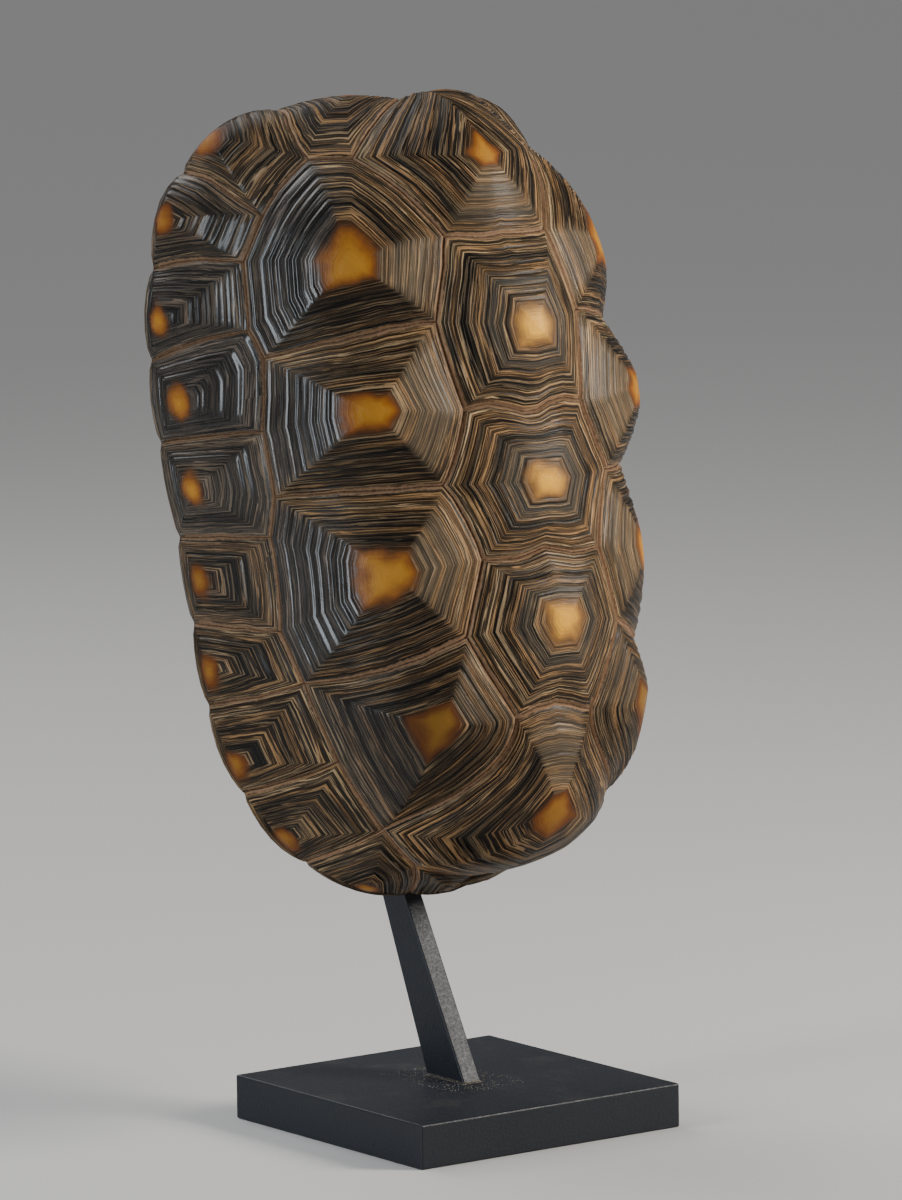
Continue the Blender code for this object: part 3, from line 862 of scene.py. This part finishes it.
def add_rim_and_inside(shell):
    """Turns the rim under, then closes the carapace with its bony inside."""
    found = {key: index for key, index in shell.shared.items() if math.hypot(*key) > 0.9998}
    order = sorted(found, key=lambda key: math.atan2(*key))
    edge = np.array(order)
    edge /= np.hypot(*edge.T)[:, None]
    spots = dome(edge)
    rim = np.array([found[key] for key in order])
    growth, areola, pale = shell.values_at(rim, "growth", "areola", "pale")
    seams = [rim_chart(degrees) for degrees in (0, *RIM_SEAMS)]
    seams += [(-a, b) for a, b in seams[1:]]
    seam_spots = dome(np.array(seams))
    gap = np.linalg.norm(spots[:, None] - seam_spots[None], axis=2).min(1)
    tangent = np.roll(spots, -1, 0) - np.roll(spots, 1, 0)
    tangent /= np.linalg.norm(tangent, axis=1, keepdims=True)
    crown = np.array([0.0, 0.0, 1.0])
    outward = np.cross(crown, tangent)
    outward /= np.linalg.norm(outward, axis=1, keepdims=True)
    outward *= np.sign((outward[:, :2] * spots[:, :2]).sum(1))[:, None]
    below = tangent * (tangent @ crown)[:, None] - crown
    below /= np.linalg.norm(below, axis=1, keepdims=True)
    steps = []
    for index in range(1, LIP_STEPS + 1):
        turn = math.pi / 2 * index / LIP_STEPS
        steps.append((LIP_RADIUS * (1 - math.cos(turn)), LIP_RADIUS * math.sin(turn)))
    for share in np.linspace(0, 1, VENTRAL_STEPS + 1)[1:]:
        inset = LIP_RADIUS + (VENTRAL_WIDTH - LIP_RADIUS) * share
        steps.append((inset, LIP_RADIUS + (VENTRAL_STEP - LIP_RADIUS) * share))
    previous, run = rim, 0.0
    before = (0.0, 0.0)
    for inset, fall in steps:
        run += math.dist(before, (inset, fall))
        before = (inset, fall)
        ring = shell.add(
            spots - outward * inset + below * fall,
            growth=growth - run / LIP_YEAR,
            ring_place=0.8,
            seam_mm=gap,
            areola=areola * max(0.0, 1 - run / LIP_AREOLA_REACH),
            pale=pale + min(run / LIP_PALE_REACH, 0.5),
            outer=max(0.0, 0.7 - run / LIP_SHINE_REACH),
            bone=1.0 if (inset, fall) == steps[-1] else 0.0,
        )
        shell.strip(previous, ring)
        previous = ring
    for radius in INNER_RADII:
        chart = edge * radius
        ring = shell.add(inner_points(chart), seam_mm=FAR_FROM_SEAM, ring_place=0.5, bone=1.0)
        shell.strip(previous, ring)
        previous = ring
    centre = inner_points(np.array([[0.0, 0.0]]))
    middle = shell.add(centre, seam_mm=FAR_FROM_SEAM, bone=1.0)
    fan = np.stack([previous, np.roll(previous, -1), np.full(len(previous), middle[0])], 1)
    shell.faces.append(fan)


def inner_points(chart):
    """Points of the bony inside under chart points."""
    r = np.hypot(*chart.T)
    ground = dome(chart)
    rim_share = np.clip((r - 0.62) / 0.28, 0, 1)
    thick = WALL_THICK + (WALL_THICK_AT_RIM - WALL_THICK) * rim_share**2
    across, along = ground[:, 0], ground[:, 1]
    ends = np.minimum(np.minimum(r, 1 - r), 0.2) / 0.2
    ridge = np.exp(-((across / SPINE_REACH) ** 2)) * ends
    ribs = 0.5 + 0.5 * np.cos(2 * math.pi * along / RIB_PITCH)
    band = np.exp(-(((r - 0.45) / 0.25) ** 2)) * (1 - np.exp(-((across / 20) ** 2)))
    thick = thick + SPINE_RIDGE * ridge + RIB_HEIGHT * ribs * band
    thick = thick + 0.25 * wobble(ground, 14.0, 9.0)
    return ground - dome_normal(chart) * thick[:, None]


def geometry_graph(name, inputs):
    """A new geometry tree as a graph, with its input sockets: the geometry, then those named."""
    tree = bpy.data.node_groups.new(name, "GeometryNodeTree")
    face = tree.interface
    face.new_socket("Geometry", in_out="INPUT", socket_type="NodeSocketGeometry")
    for label, kind in inputs.items():
        face.new_socket(label, in_out="INPUT", socket_type="NodeSocket" + kind)
    face.new_socket("Geometry", in_out="OUTPUT", socket_type="NodeSocketGeometry")
    graph = Graph(tree)
    return graph, graph.node("NodeGroupInput").outputs


def set_material(graph, geometry, material, where=True):
    inputs = {"Geometry": geometry, "Selection": where, "Material": material}
    return graph.node("GeometryNodeSetMaterial", None, inputs).outputs[0]


def growth_ridge_tree():
    """Geometry nodes that raise growth ridges and sink the seams along the normals."""
    inputs = dict.fromkeys(("Ridge Depth", "Seam Depth", "Seam Width", "Seed"), "Float")
    inputs.update(Horn="Material", Bone="Material")
    graph, entry = geometry_graph("growth_ridges", inputs)
    depth, seam_depth, seam_width, seed = (Value(graph, entry[index]) for index in range(1, 5))

    def stored(name):
        made = graph.node("GeometryNodeInputNamedAttribute", {"data_type": "FLOAT"}, {0: name})
        return Value(graph, made.outputs[0])

    growth = stored("growth") + seed * SEED_STEP
    broad = graph.lines(growth * 0.52, detail=0.0) - 0.5
    fine = graph.lines(growth * RIDGE_PACE) - 0.5
    calm = 1 - graph.ramp(stored("areola"), 0.1, 0.6, 0.0, 0.9)
    calm = calm * (1 + 0.15 * stored("outer") - 0.6 * stored("inner"))
    horn = 1 - stored("bone")
    ridges = ((broad * 1.1 + fine * 1.6) * calm - 0.42) * depth
    groove = graph.ramp(stored("seam_mm") * MM / seam_width, 0.0, 1.0, 1.0, 0.0)
    lift = (ridges * graph.ramp(stored("seam_mm"), 0.4, 2.0) - groove * seam_depth) * horn
    normal = graph.node("GeometryNodeInputNormal").outputs[0]
    scaled = graph.node("ShaderNodeVectorMath", {"operation": "SCALE"}, {0: normal, 3: lift})
    moved = graph.node(
        "GeometryNodeSetPosition", None, {"Geometry": entry[0], "Offset": scaled.outputs[0]}
    )
    real = graph.node("GeometryNodeRealizeInstances", None, {0: moved.outputs[0]})
    horned = set_material(graph, real.outputs[0], entry["Horn"])
    inside = graph.math("GREATER_THAN", stored("bone"), 0.6)
    boned = set_material(graph, horned, entry["Bone"], inside)
    graph.node("NodeGroupOutput", None, {0: boned})
    return graph.tree


def run_tree(obj, tree, **values):
    """Runs a geometry tree on obj and keeps the result as its mesh."""
    modifier = obj.modifiers.new("tree", "NODES")
    modifier.node_group = tree
    for item in tree.interface.items_tree:
        key = item.name.lower().replace(" ", "_")
        if item.in_out == "INPUT" and key in values:
            modifier[item.identifier] = values[key]
    graph = bpy.context.evaluated_depsgraph_get()
    mesh = bpy.data.meshes.new_from_object(obj.evaluated_get(graph))
    obj.modifiers.remove(modifier)
    obj.data = mesh
    return obj


def new_object(name, data, material=None):
    """Adds a mesh, lamp or camera to the scene, and coats it if a material is given."""
    obj = bpy.data.objects.new(name, data)
    if material is not None:
        obj.data.materials.clear()
        obj.data.materials.append(material)
    bpy.context.scene.collection.objects.link(obj)
    return obj


# ---------------------------------------------------------------- finishes


def horn_finish(settings):
    """Dark ringed horn with amber areolae."""
    finish = Finish("ringed_horn", coat_roughness=0.17, specular_ior_level=0.14)
    values = map(finish.attribute, ShellMesh.NAMES[:-1])
    growth, ring, seam_mm, areola, pale, outer, inner, shaded = values

    # Short breaks across the rings of the outer sectors
    cells = finish.node("ShaderNodeTexVoronoi", None, {"Vector": finish.place, "Scale": 70.0})
    jump = finish.node("ShaderNodeSeparateColor", None, {0: cells.outputs["Color"]}).outputs[0]
    broken = growth + (Value(finish, jump) - 0.5) * (0.10 + 0.30 * outer)
    broad = finish.lines(growth * 0.30 + finish.noise(9.0, 0.0, 0.5) * 1.2)
    middle = finish.bands(broken, 1.0, 12.0)
    fine = finish.bands(broken, 2.7, 26.0)
    hair = finish.lines(broken * 6.5 + finish.noise(60.0, 0.0, 0.5))
    blotch = finish.noise(48.0, 4.0, 0.6)
    grit = finish.noise(620.0, 2.0, 0.6)

    middle_line = finish.thread(middle, 0.014, 0.030)
    fine_line = finish.thread(fine, 0.020, 0.045)
    hair_line = finish.thread(hair, 0.03, 0.11)

    # How much tan there is: most by the seams, little in the outer sectors, less under painted
    # shade
    by_seam = finish.ramp(ring, 0.58, 0.95)
    by_core = finish.ramp(ring, 0.50, 0.30)
    rich = 0.20 + 0.50 * by_seam + 0.20 * by_core + 1.8 * (broad - 0.5) + 0.9 * (blotch - 0.5)
    rich = (rich * (1 - 0.55 * outer) * (1 - 0.7 * shaded)).clamped()
    base_brown = finish.mix(blotch, (0.010, 0.007, 0.004), (0.070, 0.046, 0.024))
    shade = finish.ramp(rich + 2.6 * (fine - 0.5), 0.55, 1.05) * 0.8
    dark = finish.mix(shade, settings.horn, base_brown)
    worn = finish.mix(fine, (0.135, 0.102, 0.064), (0.085, 0.063, 0.040))
    dark = finish.mix(inner * finish.ramp(ring, 0.94, 0.70) * 0.85, dark, worn)
    polished = finish.ramp(pale, 0.5, 0.9) * finish.ramp(ring, 0.62, 0.45)
    dark = finish.mix(polished * 0.8, dark, (0.050, 0.044, 0.035))
    tan = finish.mix(finish.ramp(broad, 0.4, 0.6), settings.line, (0.38, 0.215, 0.092))
    tan = finish.mix(outer * 0.75, tan, (0.11, 0.105, 0.10))
    strength = (middle_line + fine_line * 0.7 + hair_line * 0.3 * rich).clamped()
    strength = strength * (0.22 + 1.4 * rich).clamped() * (0.45 + 1.1 * grit).clamped()
    colour = finish.mix(strength, dark, tan)
    # The ridges' own grooves stay dark
    ridge = (growth + settings.seed * SEED_STEP) * RIDGE_PACE
    groove = finish.ramp(finish.lines(ridge), 0.50, 0.36) * (1 - 0.75 * inner)
    colour = finish.mix(groove * 0.85, colour, (0.004, 0.003, 0.002))
    cracks = finish.thread(finish.lines(growth * 1.3 + blotch), 0.016, 0.055)
    colour = finish.mix(cracks * inner * 0.7, colour, (0.014, 0.010, 0.007))

    # Areolae: rust fading in, then amber or peach
    glow = areola + (finish.noise(130.0, 4.0, 0.65) - 0.5) * 0.35
    glow = glow - strength * 0.06
    rust = finish.mix(pale, (0.085, 0.026, 0.006), (0.17, 0.085, 0.032))
    amber = finish.mix(pale, settings.amber, settings.peach)
    deep = finish.mix(pale, (0.20, 0.056, 0.006), (0.38, 0.19, 0.045))
    dull = finish.ramp(pale, -0.7, 0.0, 0.75, 0.0)
    amber = finish.mix(dull, amber, (0.105, 0.062, 0.012))
    deep = finish.mix(dull, deep, (0.050, 0.028, 0.008))
    fringe = finish.ramp(glow, 0.20, 0.58)
    warm = finish.mix(finish.ramp(glow, 0.40, 0.72), rust, deep)
    warm = finish.mix(finish.ramp(glow, 0.60, 1.0), warm, amber)
    colour = finish.mix(fringe, colour, warm)

    ragged = seam_mm + (finish.noise(420.0, 3.0, 0.65) - 0.5) * 2.4 + (blotch - 0.5) * 2.0
    seam = finish.ramp(ragged, 0.80, 1.90, 1.0, 0.0)
    crease = finish.ramp(seam_mm + (grit - 0.5) * 0.5, 0.03, 0.26, 1.0, 0.0)
    pink = finish.mix(grit, (0.24, 0.125, 0.062), (0.40, 0.26, 0.16))
    colour = finish.mix(seam * (0.90 - 0.35 * outer), colour, pink)
    colour = finish.mix(crease * 0.75, colour, (0.035, 0.020, 0.012))

    rough = 0.43 + 0.4 * (blotch - 0.5) + 0.14 * strength + 0.12 * seam - 0.12 * outer
    finish.set("Base Color", colour)
    finish.set("Roughness", rough + 0.2 * (grit - 0.5))
    finish.set("Coat Weight", (0.05 + 0.55 * outer) * (1 - seam) * (1 - fringe))

    calm = 1 - finish.ramp(areola, 0.15, 0.7, 0.0, 0.85)
    layers = middle_line * 0.55 + fine_line * 0.40 + (fine - 0.5) * 1.2
    trough = finish.ramp(seam_mm, 0.5, 1.6, 0.6, 0.0)
    height = layers * calm * (1 - 0.55 * inner) - trough + (grit - 0.5) * 0.30
    finish.bump(height, 0.40, 1.0)
    return finish.material


def bone_finish(settings):
    """Dry pale bone with faint sutures across and along it."""
    finish = Finish("bone", specular_ior_level=0.3)
    x, y, z = (finish.axis(i) for i in range(3))
    along = (z - RIM_CENTRE_Z * MM) * math.cos(LEAN) + (y - RIM_CENTRE_Y * MM) * math.sin(LEAN)
    sway = (finish.noise(14.0, 1.0, 0.5) - 0.5) * 0.035
    zigzag = (finish.noise(420.0, 2.0, 0.6) - 0.5) * 0.007
    side = finish.math("ABSOLUTE", x)
    bow = side * side * 1.6
    half = RIB_PITCH * MM / 2
    cross = finish.math("ABSOLUTE", finish.math("WRAP", along + bow + sway + zigzag, half, -half))
    neural = finish.math("ABSOLUTE", side + sway * 0.3 + zigzag - 0.013)
    suture = finish.ramp(finish.math("MINIMUM", cross, neural), 0.0002, 0.0009, 1.0, 0.0)
    grain = finish.noise(90.0, 5.0, 0.65)
    pores = finish.noise(900.0, 2.0, 0.5)
    stain = finish.ramp(finish.noise(16.0, 4.0, 0.6), 0.42, 0.72)
    colour = finish.mix(grain, settings.bone, (0.72, 0.62, 0.46))
    colour = finish.mix(stain * 0.6, colour, (0.33, 0.23, 0.13))
    finish.set("Base Color", finish.mix(suture * 0.45, colour, (0.18, 0.12, 0.07)))
    finish.set("Roughness", 0.62 + 0.2 * (grain - 0.5))
    finish.bump(grain * 0.5 + pores * 0.25 - suture * 0.8, 0.45, 0.85)
    return finish.material


def powder_coat(settings):
    """Black powder coat with a fine orange peel, pale specks and a little dust."""
    finish = Finish("powder_coat", specular_ior_level=0.30)
    peel = finish.noise(640.0, 3.0, 0.6)
    broad = finish.noise(14.0, 3.0, 0.6)
    speck = finish.ramp(finish.noise(2600.0, 1.0, 0.5), 0.69, 0.76)
    x, y, z = (finish.axis(i) for i in range(3))
    colour = finish.mix(broad, settings.coat, tuple(c * 1.5 for c in settings.coat))
    colour = finish.mix(speck * 0.35, colour, (0.20, 0.20, 0.21))
    middle = sum(POST_FOOT) / 2 * MM
    half = (POST_FOOT[1] - POST_FOOT[0]) / 2 * MM
    out_x = finish.math("MAXIMUM", finish.math("ABSOLUTE", x) - POST_THICK / 2 * MM, 0.0)
    out_y = finish.math("MAXIMUM", finish.math("ABSOLUTE", y - middle) - half, 0.0)
    out_z = finish.math("ABSOLUTE", z - 0.0212)
    away = finish.math("MAXIMUM", finish.math("MAXIMUM", out_x, out_y), out_z)
    crumbs = finish.noise(1100.0, 3.0, 0.7)
    foot = finish.ramp(away + crumbs * 0.0022, 0.0006, 0.0021, 1.0, 0.0)
    film = finish.ramp(finish.noise(38.0, 5.0, 0.7), 0.50, 0.80) * 0.05
    top = finish.ramp(z, 0.0205, 0.0209) * finish.ramp(z, 0.0222, 0.0214)
    dust = (foot * 0.8 + film * top).clamped()
    colour = finish.mix(dust, colour, settings.dust)
    finish.set("Base Color", colour)
    finish.set("Roughness", 0.46 + 0.10 * (broad - 0.5) + 0.35 * (peel - 0.5) + 0.4 * dust)
    finish.bump(peel + crumbs * foot, 0.22, 0.9)
    return finish.material


def felt_finish(settings):
    """Dark wool felt with short tufts."""
    finish = Finish("wool_felt", sheen_weight=0.5, sheen_roughness=0.6)
    fibre = finish.noise(1400.0, 4.0, 0.75)
    tuft = finish.noise(160.0, 3.0, 0.6)
    pale = tuple(min(1.0, c * 3.5) for c in settings.felt)
    finish.set("Base Color", finish.mix(fibre * 0.7 + tuft * 0.3, settings.felt, pale))
    finish.set("Roughness", 0.9 + 0.08 * (fibre - 0.5))
    finish.bump(fibre + tuft, 0.35, 0.8)
    return finish.material


def zinc_finish(settings):
    """Bright zinc plating with a faint cloud."""
    finish = Finish("bright_zinc", metallic=1.0)
    grain = finish.noise(500.0, 3.0, 0.6)
    cloud = finish.noise(60.0, 3.0, 0.6)
    dull = tuple(c * 0.6 for c in settings.zinc)
    finish.set("Base Color", finish.mix(cloud, settings.zinc, dull))
    finish.set("Roughness", 0.26 + 0.25 * (grain - 0.5) + 0.15 * cloud)
    finish.bump(grain, 0.03, 0.5)
    return finish.material


def dust_finish(settings):
    """Pale grit in two tints."""
    finish = Finish("dust", roughness=0.95)
    tint = finish.noise(1800.0, 2.0, 0.5)
    dark = tuple(c * 0.55 for c in settings.dust)
    finish.set("Base Color", finish.mix(tint, settings.dust, dark))
    return finish.material


# ---------------------------------------------------------------- operators


class CARAPACE_OT_shell(bpy.types.Operator):
    """Makes the carapace with its scutes, growth rings, rim and bony inside"""

    bl_idname = "carapace.shell"
    bl_label = "Carapace"

    def execute(self, context):
        settings = context.scene.carapace_shell
        # Without a seed, noise_vector starts from the clock
        noise.seed_set(SEAM_SEED)
        shell = ShellMesh()
        for number, scute in enumerate(scutes()):
            add_scute(shell, number, *scute)
        add_rim_and_inside(shell)
        obj = new_object("carapace_shell", shell.build("carapace_shell"))
        point_outwards(obj.data)
        run_tree(
            obj,
            growth_ridge_tree(),
            ridge_depth=settings.ridge_depth,
            seam_depth=settings.seam_depth,
            seam_width=settings.seam_width,
            seed=float(settings.seed),
            horn=horn_finish(settings),
            bone=bone_finish(settings),
        )
        obj.data.shade_smooth()
        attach(obj, "root")
        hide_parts("carapace")
        return {"FINISHED"}


class CARAPACE_OT_stand(bpy.types.Operator):
    """Coats the bar, the base plate and the pad plate"""

    bl_idname = "carapace.stand"
    bl_label = "Stand"

    def execute(self, context):
        coat = powder_coat(context.scene.carapace_stand)
        for name in ("post", "base_plate", "pad_plate"):
            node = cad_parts[name]
            node.data.materials.clear()
            node.data.materials.append(coat)
        return {"FINISHED"}


class CARAPACE_OT_felt(bpy.types.Operator):
    """Makes the felt pad between the arm's plate and the bone"""

    bl_idname = "carapace.felt"
    bl_label = "Felt pad"

    def execute(self, context):
        low, high = (Vector(corner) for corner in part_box("felt_pad"))
        mesh = bmesh.new()
        bmesh.ops.create_cube(mesh, size=1.0)
        bmesh.ops.scale(mesh, verts=mesh.verts, vec=(high - low))
        bmesh.ops.translate(mesh, verts=mesh.verts, vec=(low + high) / 2)
        bmesh.ops.bevel(
            mesh, geom=mesh.edges[:], offset=FELT_EDGE * MM, segments=3, affect="EDGES", profile=0.5
        )
        bmesh.ops.subdivide_edges(mesh, edges=mesh.edges[:], cuts=2, use_grid_fill=True)
        for vert in mesh.verts:
            inward = ((low + high) / 2 - vert.co).normalized()
            fuzz = noise.noise(vert.co * FUZZ_PITCH) * FELT_FUZZ + FELT_FUZZ
            vert.co += inward * fuzz * MM
        bmesh.ops.recalc_face_normals(mesh, faces=mesh.faces)
        data = finished_mesh("felt", mesh)
        data.shade_smooth()
        obj = new_object("felt", data, felt_finish(context.scene.carapace_stand))
        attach(obj, "root")
        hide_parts("felt_pad")
        return {"FINISHED"}


class CARAPACE_OT_screws(bpy.types.Operator):
    """Makes the two countersunk screws under the base plate"""

    bl_idname = "carapace.screws"
    bl_label = "Base screws"

    def execute(self, context):
        zinc = zinc_finish(context.scene.carapace_stand)
        for number in range(1, SCREW_COUNT + 1):
            node = f"base_screw_{number}"
            low, high = (Vector(corner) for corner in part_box(node))
            obj = new_object(f"screw_{number}", screw_mesh(low, high), zinc)
            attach(obj, "root")
            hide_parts(node)
        return {"FINISHED"}


class CARAPACE_OT_dust(bpy.types.Operator):
    """Scatters specks of dust on the plate round the foot of the bar"""

    bl_idname = "carapace.dust"
    bl_label = "Dust"

    def execute(self, context):
        settings = context.scene.carapace_stand
        obj = new_object("dust_specks", dust_ground())
        run_tree(
            obj,
            dust_tree(),
            grains=settings.grains,
            grain_size=settings.grain_size,
            seed=3,
            material=dust_finish(settings),
        )
        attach(obj, "root")
        return {"FINISHED"}


class CARAPACE_OT_stage(bpy.types.Operator):
    """Sets the floor, the soft studio lights and the camera"""

    bl_idname = "carapace.stage"
    bl_label = "Stage"

    def execute(self, context):
        settings = context.scene.carapace_stage
        make_floor(settings)
        make_lights(settings)
        make_camera()
        return {"FINISHED"}


class CARAPACE_PT_panel(bpy.types.Panel):
    """Lists the carapace's pieces and their settings"""

    bl_label = "Carapace"
    bl_idname = "CARAPACE_PT_panel"
    bl_space_type = "VIEW_3D"
    bl_region_type = "UI"
    bl_category = "Carapace"

    def draw(self, context):
        scene = context.scene
        for group in (scene.carapace_shell, scene.carapace_stand, scene.carapace_stage):
            box = self.layout.box()
            for name in group.bl_rna.properties.keys():
                if name not in ("rna_type", "name"):
                    box.prop(group, name)
        for operator in OPERATORS:
            self.layout.operator(operator.bl_idname)


# ---------------------------------------------------------------- smaller pieces and the stage


def finished_mesh(name, mesh):
    """Moves a bmesh into a new mesh of this name."""
    data = bpy.data.meshes.new(name)
    mesh.to_mesh(data)
    mesh.free()
    return data


def point_outwards(data):
    """Turns every face outwards."""
    mesh = bmesh.new()
    mesh.from_mesh(data)
    bmesh.ops.recalc_face_normals(mesh, faces=mesh.faces)
    if mesh.calc_volume(signed=True) < 0:
        bmesh.ops.reverse_faces(mesh, faces=mesh.faces)
    mesh.to_mesh(data)
    mesh.free()


def screw_mesh(low, high):
    """A countersunk screw, head down, with a round recess and threads on its shank."""
    centre = (low + high) / 2
    head, shank, length = (high.x - low.x) / 2, SCREW_SHANK * MM, high.z - low.z
    recess = RECESS_DEPTH * MM
    outline = [(0.0, recess), (head * 0.45, recess), (head * 0.5, 0.05 * MM)]
    outline += [(head * 0.93, 0.0), (head * 0.99, 0.25 * MM), (head, 0.5 * MM)]
    outline += [(shank, SCREW_HEAD_DEPTH * MM)]
    turns = int((length - THREAD_SPARE * MM) / (THREAD_PITCH * MM))
    for index in range(turns):
        up = THREAD_START * MM + index * THREAD_PITCH * MM
        outline += [(shank * 0.84, up), (shank * 0.98, up + THREAD_PITCH / 2 * MM)]
    outline += [(shank * 0.8, length - 0.3 * MM), (0.0, length)]
    mesh = bmesh.new()
    verts = [mesh.verts.new((centre.x + r, centre.y, low.z + z)) for r, z in outline]
    edges = [mesh.edges.new(pair) for pair in zip(verts, verts[1:])]
    bmesh.ops.spin(
        mesh,
        geom=verts + edges,
        cent=(centre.x, centre.y, 0.0),
        axis=(0, 0, 1),
        angle=2 * math.pi,
        steps=32,
        use_merge=True,
    )
    bmesh.ops.remove_doubles(mesh, verts=mesh.verts, dist=1e-6)
    bmesh.ops.recalc_face_normals(mesh, faces=mesh.faces)
    return finished_mesh("screw", mesh)


def dust_ground():
    """A flat frame round the foot of the bar that dust settles on."""
    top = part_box("base_plate")[1][2] + DUST_LIFT * MM
    gap, reach = DUST_GAP * MM, DUST_REACH * MM
    side = POST_THICK / 2 * MM + gap
    front, rear = POST_FOOT[0] * MM - gap, POST_FOOT[1] * MM + gap
    strips = (
        (-side - reach, front - reach, side + reach, front),
        (-side - reach, rear, side + reach, rear + reach),
        (-side - reach, front, -side, rear),
        (side, front, side + reach, rear),
    )
    mesh = bmesh.new()
    for x0, y0, x1, y1 in strips:
        corners = ((x0, y0), (x1, y0), (x1, y1), (x0, y1))
        mesh.faces.new([mesh.verts.new((x, y, top)) for x, y in corners])
    return finished_mesh("dust_ground", mesh)


def dust_tree():
    """Geometry nodes that scatter small grains over faces."""
    inputs = {"Grains": "Int", "Grain Size": "Float", "Seed": "Int", "Material": "Material"}
    graph, entry = geometry_graph("dust_grains", inputs)
    grains = Value(graph, entry["Grains"])
    long, wide = POST_FOOT[1] - POST_FOOT[0], POST_THICK
    area = (2 * DUST_REACH * (wide + long + 2 * DUST_REACH)) * MM * MM
    points = graph.node(
        "GeometryNodeDistributePointsOnFaces",
        {"distribute_method": "RANDOM"},
        {"Mesh": entry[0], "Density": grains / area, "Seed": entry["Seed"]},
    )
    grain = graph.node(
        "GeometryNodeMeshIcoSphere", None, {"Radius": entry["Grain Size"], "Subdivisions": 1}
    )
    size = graph.node(
        "FunctionNodeRandomValue",
        {"data_type": "FLOAT_VECTOR"},
        {0: GRAIN_LEAST, 1: GRAIN_MOST, "Seed": entry["Seed"]},
    )
    spin = graph.node(
        "FunctionNodeRandomValue", {"data_type": "FLOAT_VECTOR"}, {0: (0, 0, 0), 1: GRAIN_TURN}
    )
    placed = graph.node(
        "GeometryNodeInstanceOnPoints",
        None,
        {
            "Points": points.outputs[0],
            "Instance": grain.outputs[0],
            "Scale": size.outputs[0],
            "Rotation": spin.outputs[0],
        },
    )
    real = graph.node("GeometryNodeRealizeInstances", None, {0: placed.outputs[0]})
    coated = set_material(graph, real.outputs[0], entry["Material"])
    graph.node("NodeGroupOutput", None, {0: coated})
    return graph.tree


def make_floor(settings):
    """A plain pale floor."""
    mesh = bmesh.new()
    bmesh.ops.create_grid(mesh, x_segments=1, y_segments=1, size=FLOOR_REACH)
    finish = Finish("floor", roughness=0.75)
    finish.set("Base Color", settings.floor)
    new_object("floor", finished_mesh("floor", mesh), finish.material)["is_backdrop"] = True


def area_light(name, place, size, colour, power):
    """A rectangular lamp that faces the middle of the object."""
    data = bpy.data.lights.new(name, "AREA")
    data.shape = "RECTANGLE"
    data.size, data.size_y = size
    data.energy = power
    data.color = colour
    lamp = new_object(name, data)
    lamp.location = place
    lamp.rotation_mode = "QUATERNION"
    lamp.rotation_quaternion = (Vector(LIGHT_AIM) - Vector(place)).to_track_quat("-Z", "Y")


def make_lights(settings):
    """The world's glow, three lamps and a broad sky light."""
    world = bpy.data.worlds.new("studio")
    world.use_nodes = True
    back = world.node_tree.nodes["Background"]
    back.inputs["Color"].default_value = (*WORLD_COLOUR, 1.0)
    back.inputs["Strength"].default_value = WORLD_STRENGTH
    bpy.context.scene.world = world
    area_light("key", *KEY_LIGHT, settings.key_power)
    area_light("fill", *FILL_LIGHT, settings.fill_power)
    area_light("back", *BACK_LIGHT, settings.fill_power * BACK_SHARE)
    data = bpy.data.lights.new("sky", "SUN")
    data.energy = SKY_STRENGTH
    data.angle = SKY_ANGLE
    new_object("sky", data).rotation_euler = SKY_TURN


def make_camera():
    """The camera, aimed by its direction, distance and offsets from the row origin."""
    a, e, roll = CAMERA_AZIMUTH, CAMERA_ELEVATION, CAMERA_ROLL
    back = Vector((math.sin(a) * math.cos(e), -math.cos(a) * math.cos(e), math.sin(e)))
    level = Vector((0, 0, 1)).cross(back).normalized()
    upright = back.cross(level)
    right = level * math.cos(roll) + upright * math.sin(roll)
    up = upright * math.cos(roll) - level * math.sin(roll)
    data = bpy.data.cameras.new("camera")
    data.lens = CAMERA_LENS
    data.sensor_width = CAMERA_SENSOR
    data.clip_end = 2 * FLOOR_REACH
    camera = new_object("camera", data)
    turn = Matrix((right, up, back)).transposed().to_4x4()
    place = back * CAMERA_DISTANCE - right * CAMERA_RIGHT - up * CAMERA_UP
    camera.matrix_world = Matrix.Translation(place) @ turn
    bpy.context.scene.camera = camera


OPERATORS = (
    CARAPACE_OT_shell,
    CARAPACE_OT_stand,
    CARAPACE_OT_felt,
    CARAPACE_OT_screws,
    CARAPACE_OT_dust,
    CARAPACE_OT_stage,
)
GROUPS = (
    ("carapace_shell", ShellSettings),
    ("carapace_stand", StandSettings),
    ("carapace_stage", StageSettings),
)


def register():
    for name, group in GROUPS:
        bpy.utils.register_class(group)
        setattr(bpy.types.Scene, name, PointerProperty(type=group))
    for operator in OPERATORS:
        bpy.utils.register_class(operator)
    bpy.utils.register_class(CARAPACE_PT_panel)


def unregister():
    bpy.utils.unregister_class(CARAPACE_PT_panel)
    for operator in reversed(OPERATORS):
        bpy.utils.unregister_class(operator)
    for name, group in reversed(GROUPS):
        delattr(bpy.types.Scene, name)
        bpy.utils.unregister_class(group)


def main():
    register()
    bpy.ops.carapace.shell()
    bpy.ops.carapace.stand()
    bpy.ops.carapace.felt()
    bpy.ops.carapace.screws()
    bpy.ops.carapace.dust()
    bpy.ops.carapace.stage()
    boxes = {"cad": CAD_BOX, "visual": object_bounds()}
    {name: [list(low), list(high)] for name, (low, high) in boxes.items()}


if __name__ == "__main__":
    main()
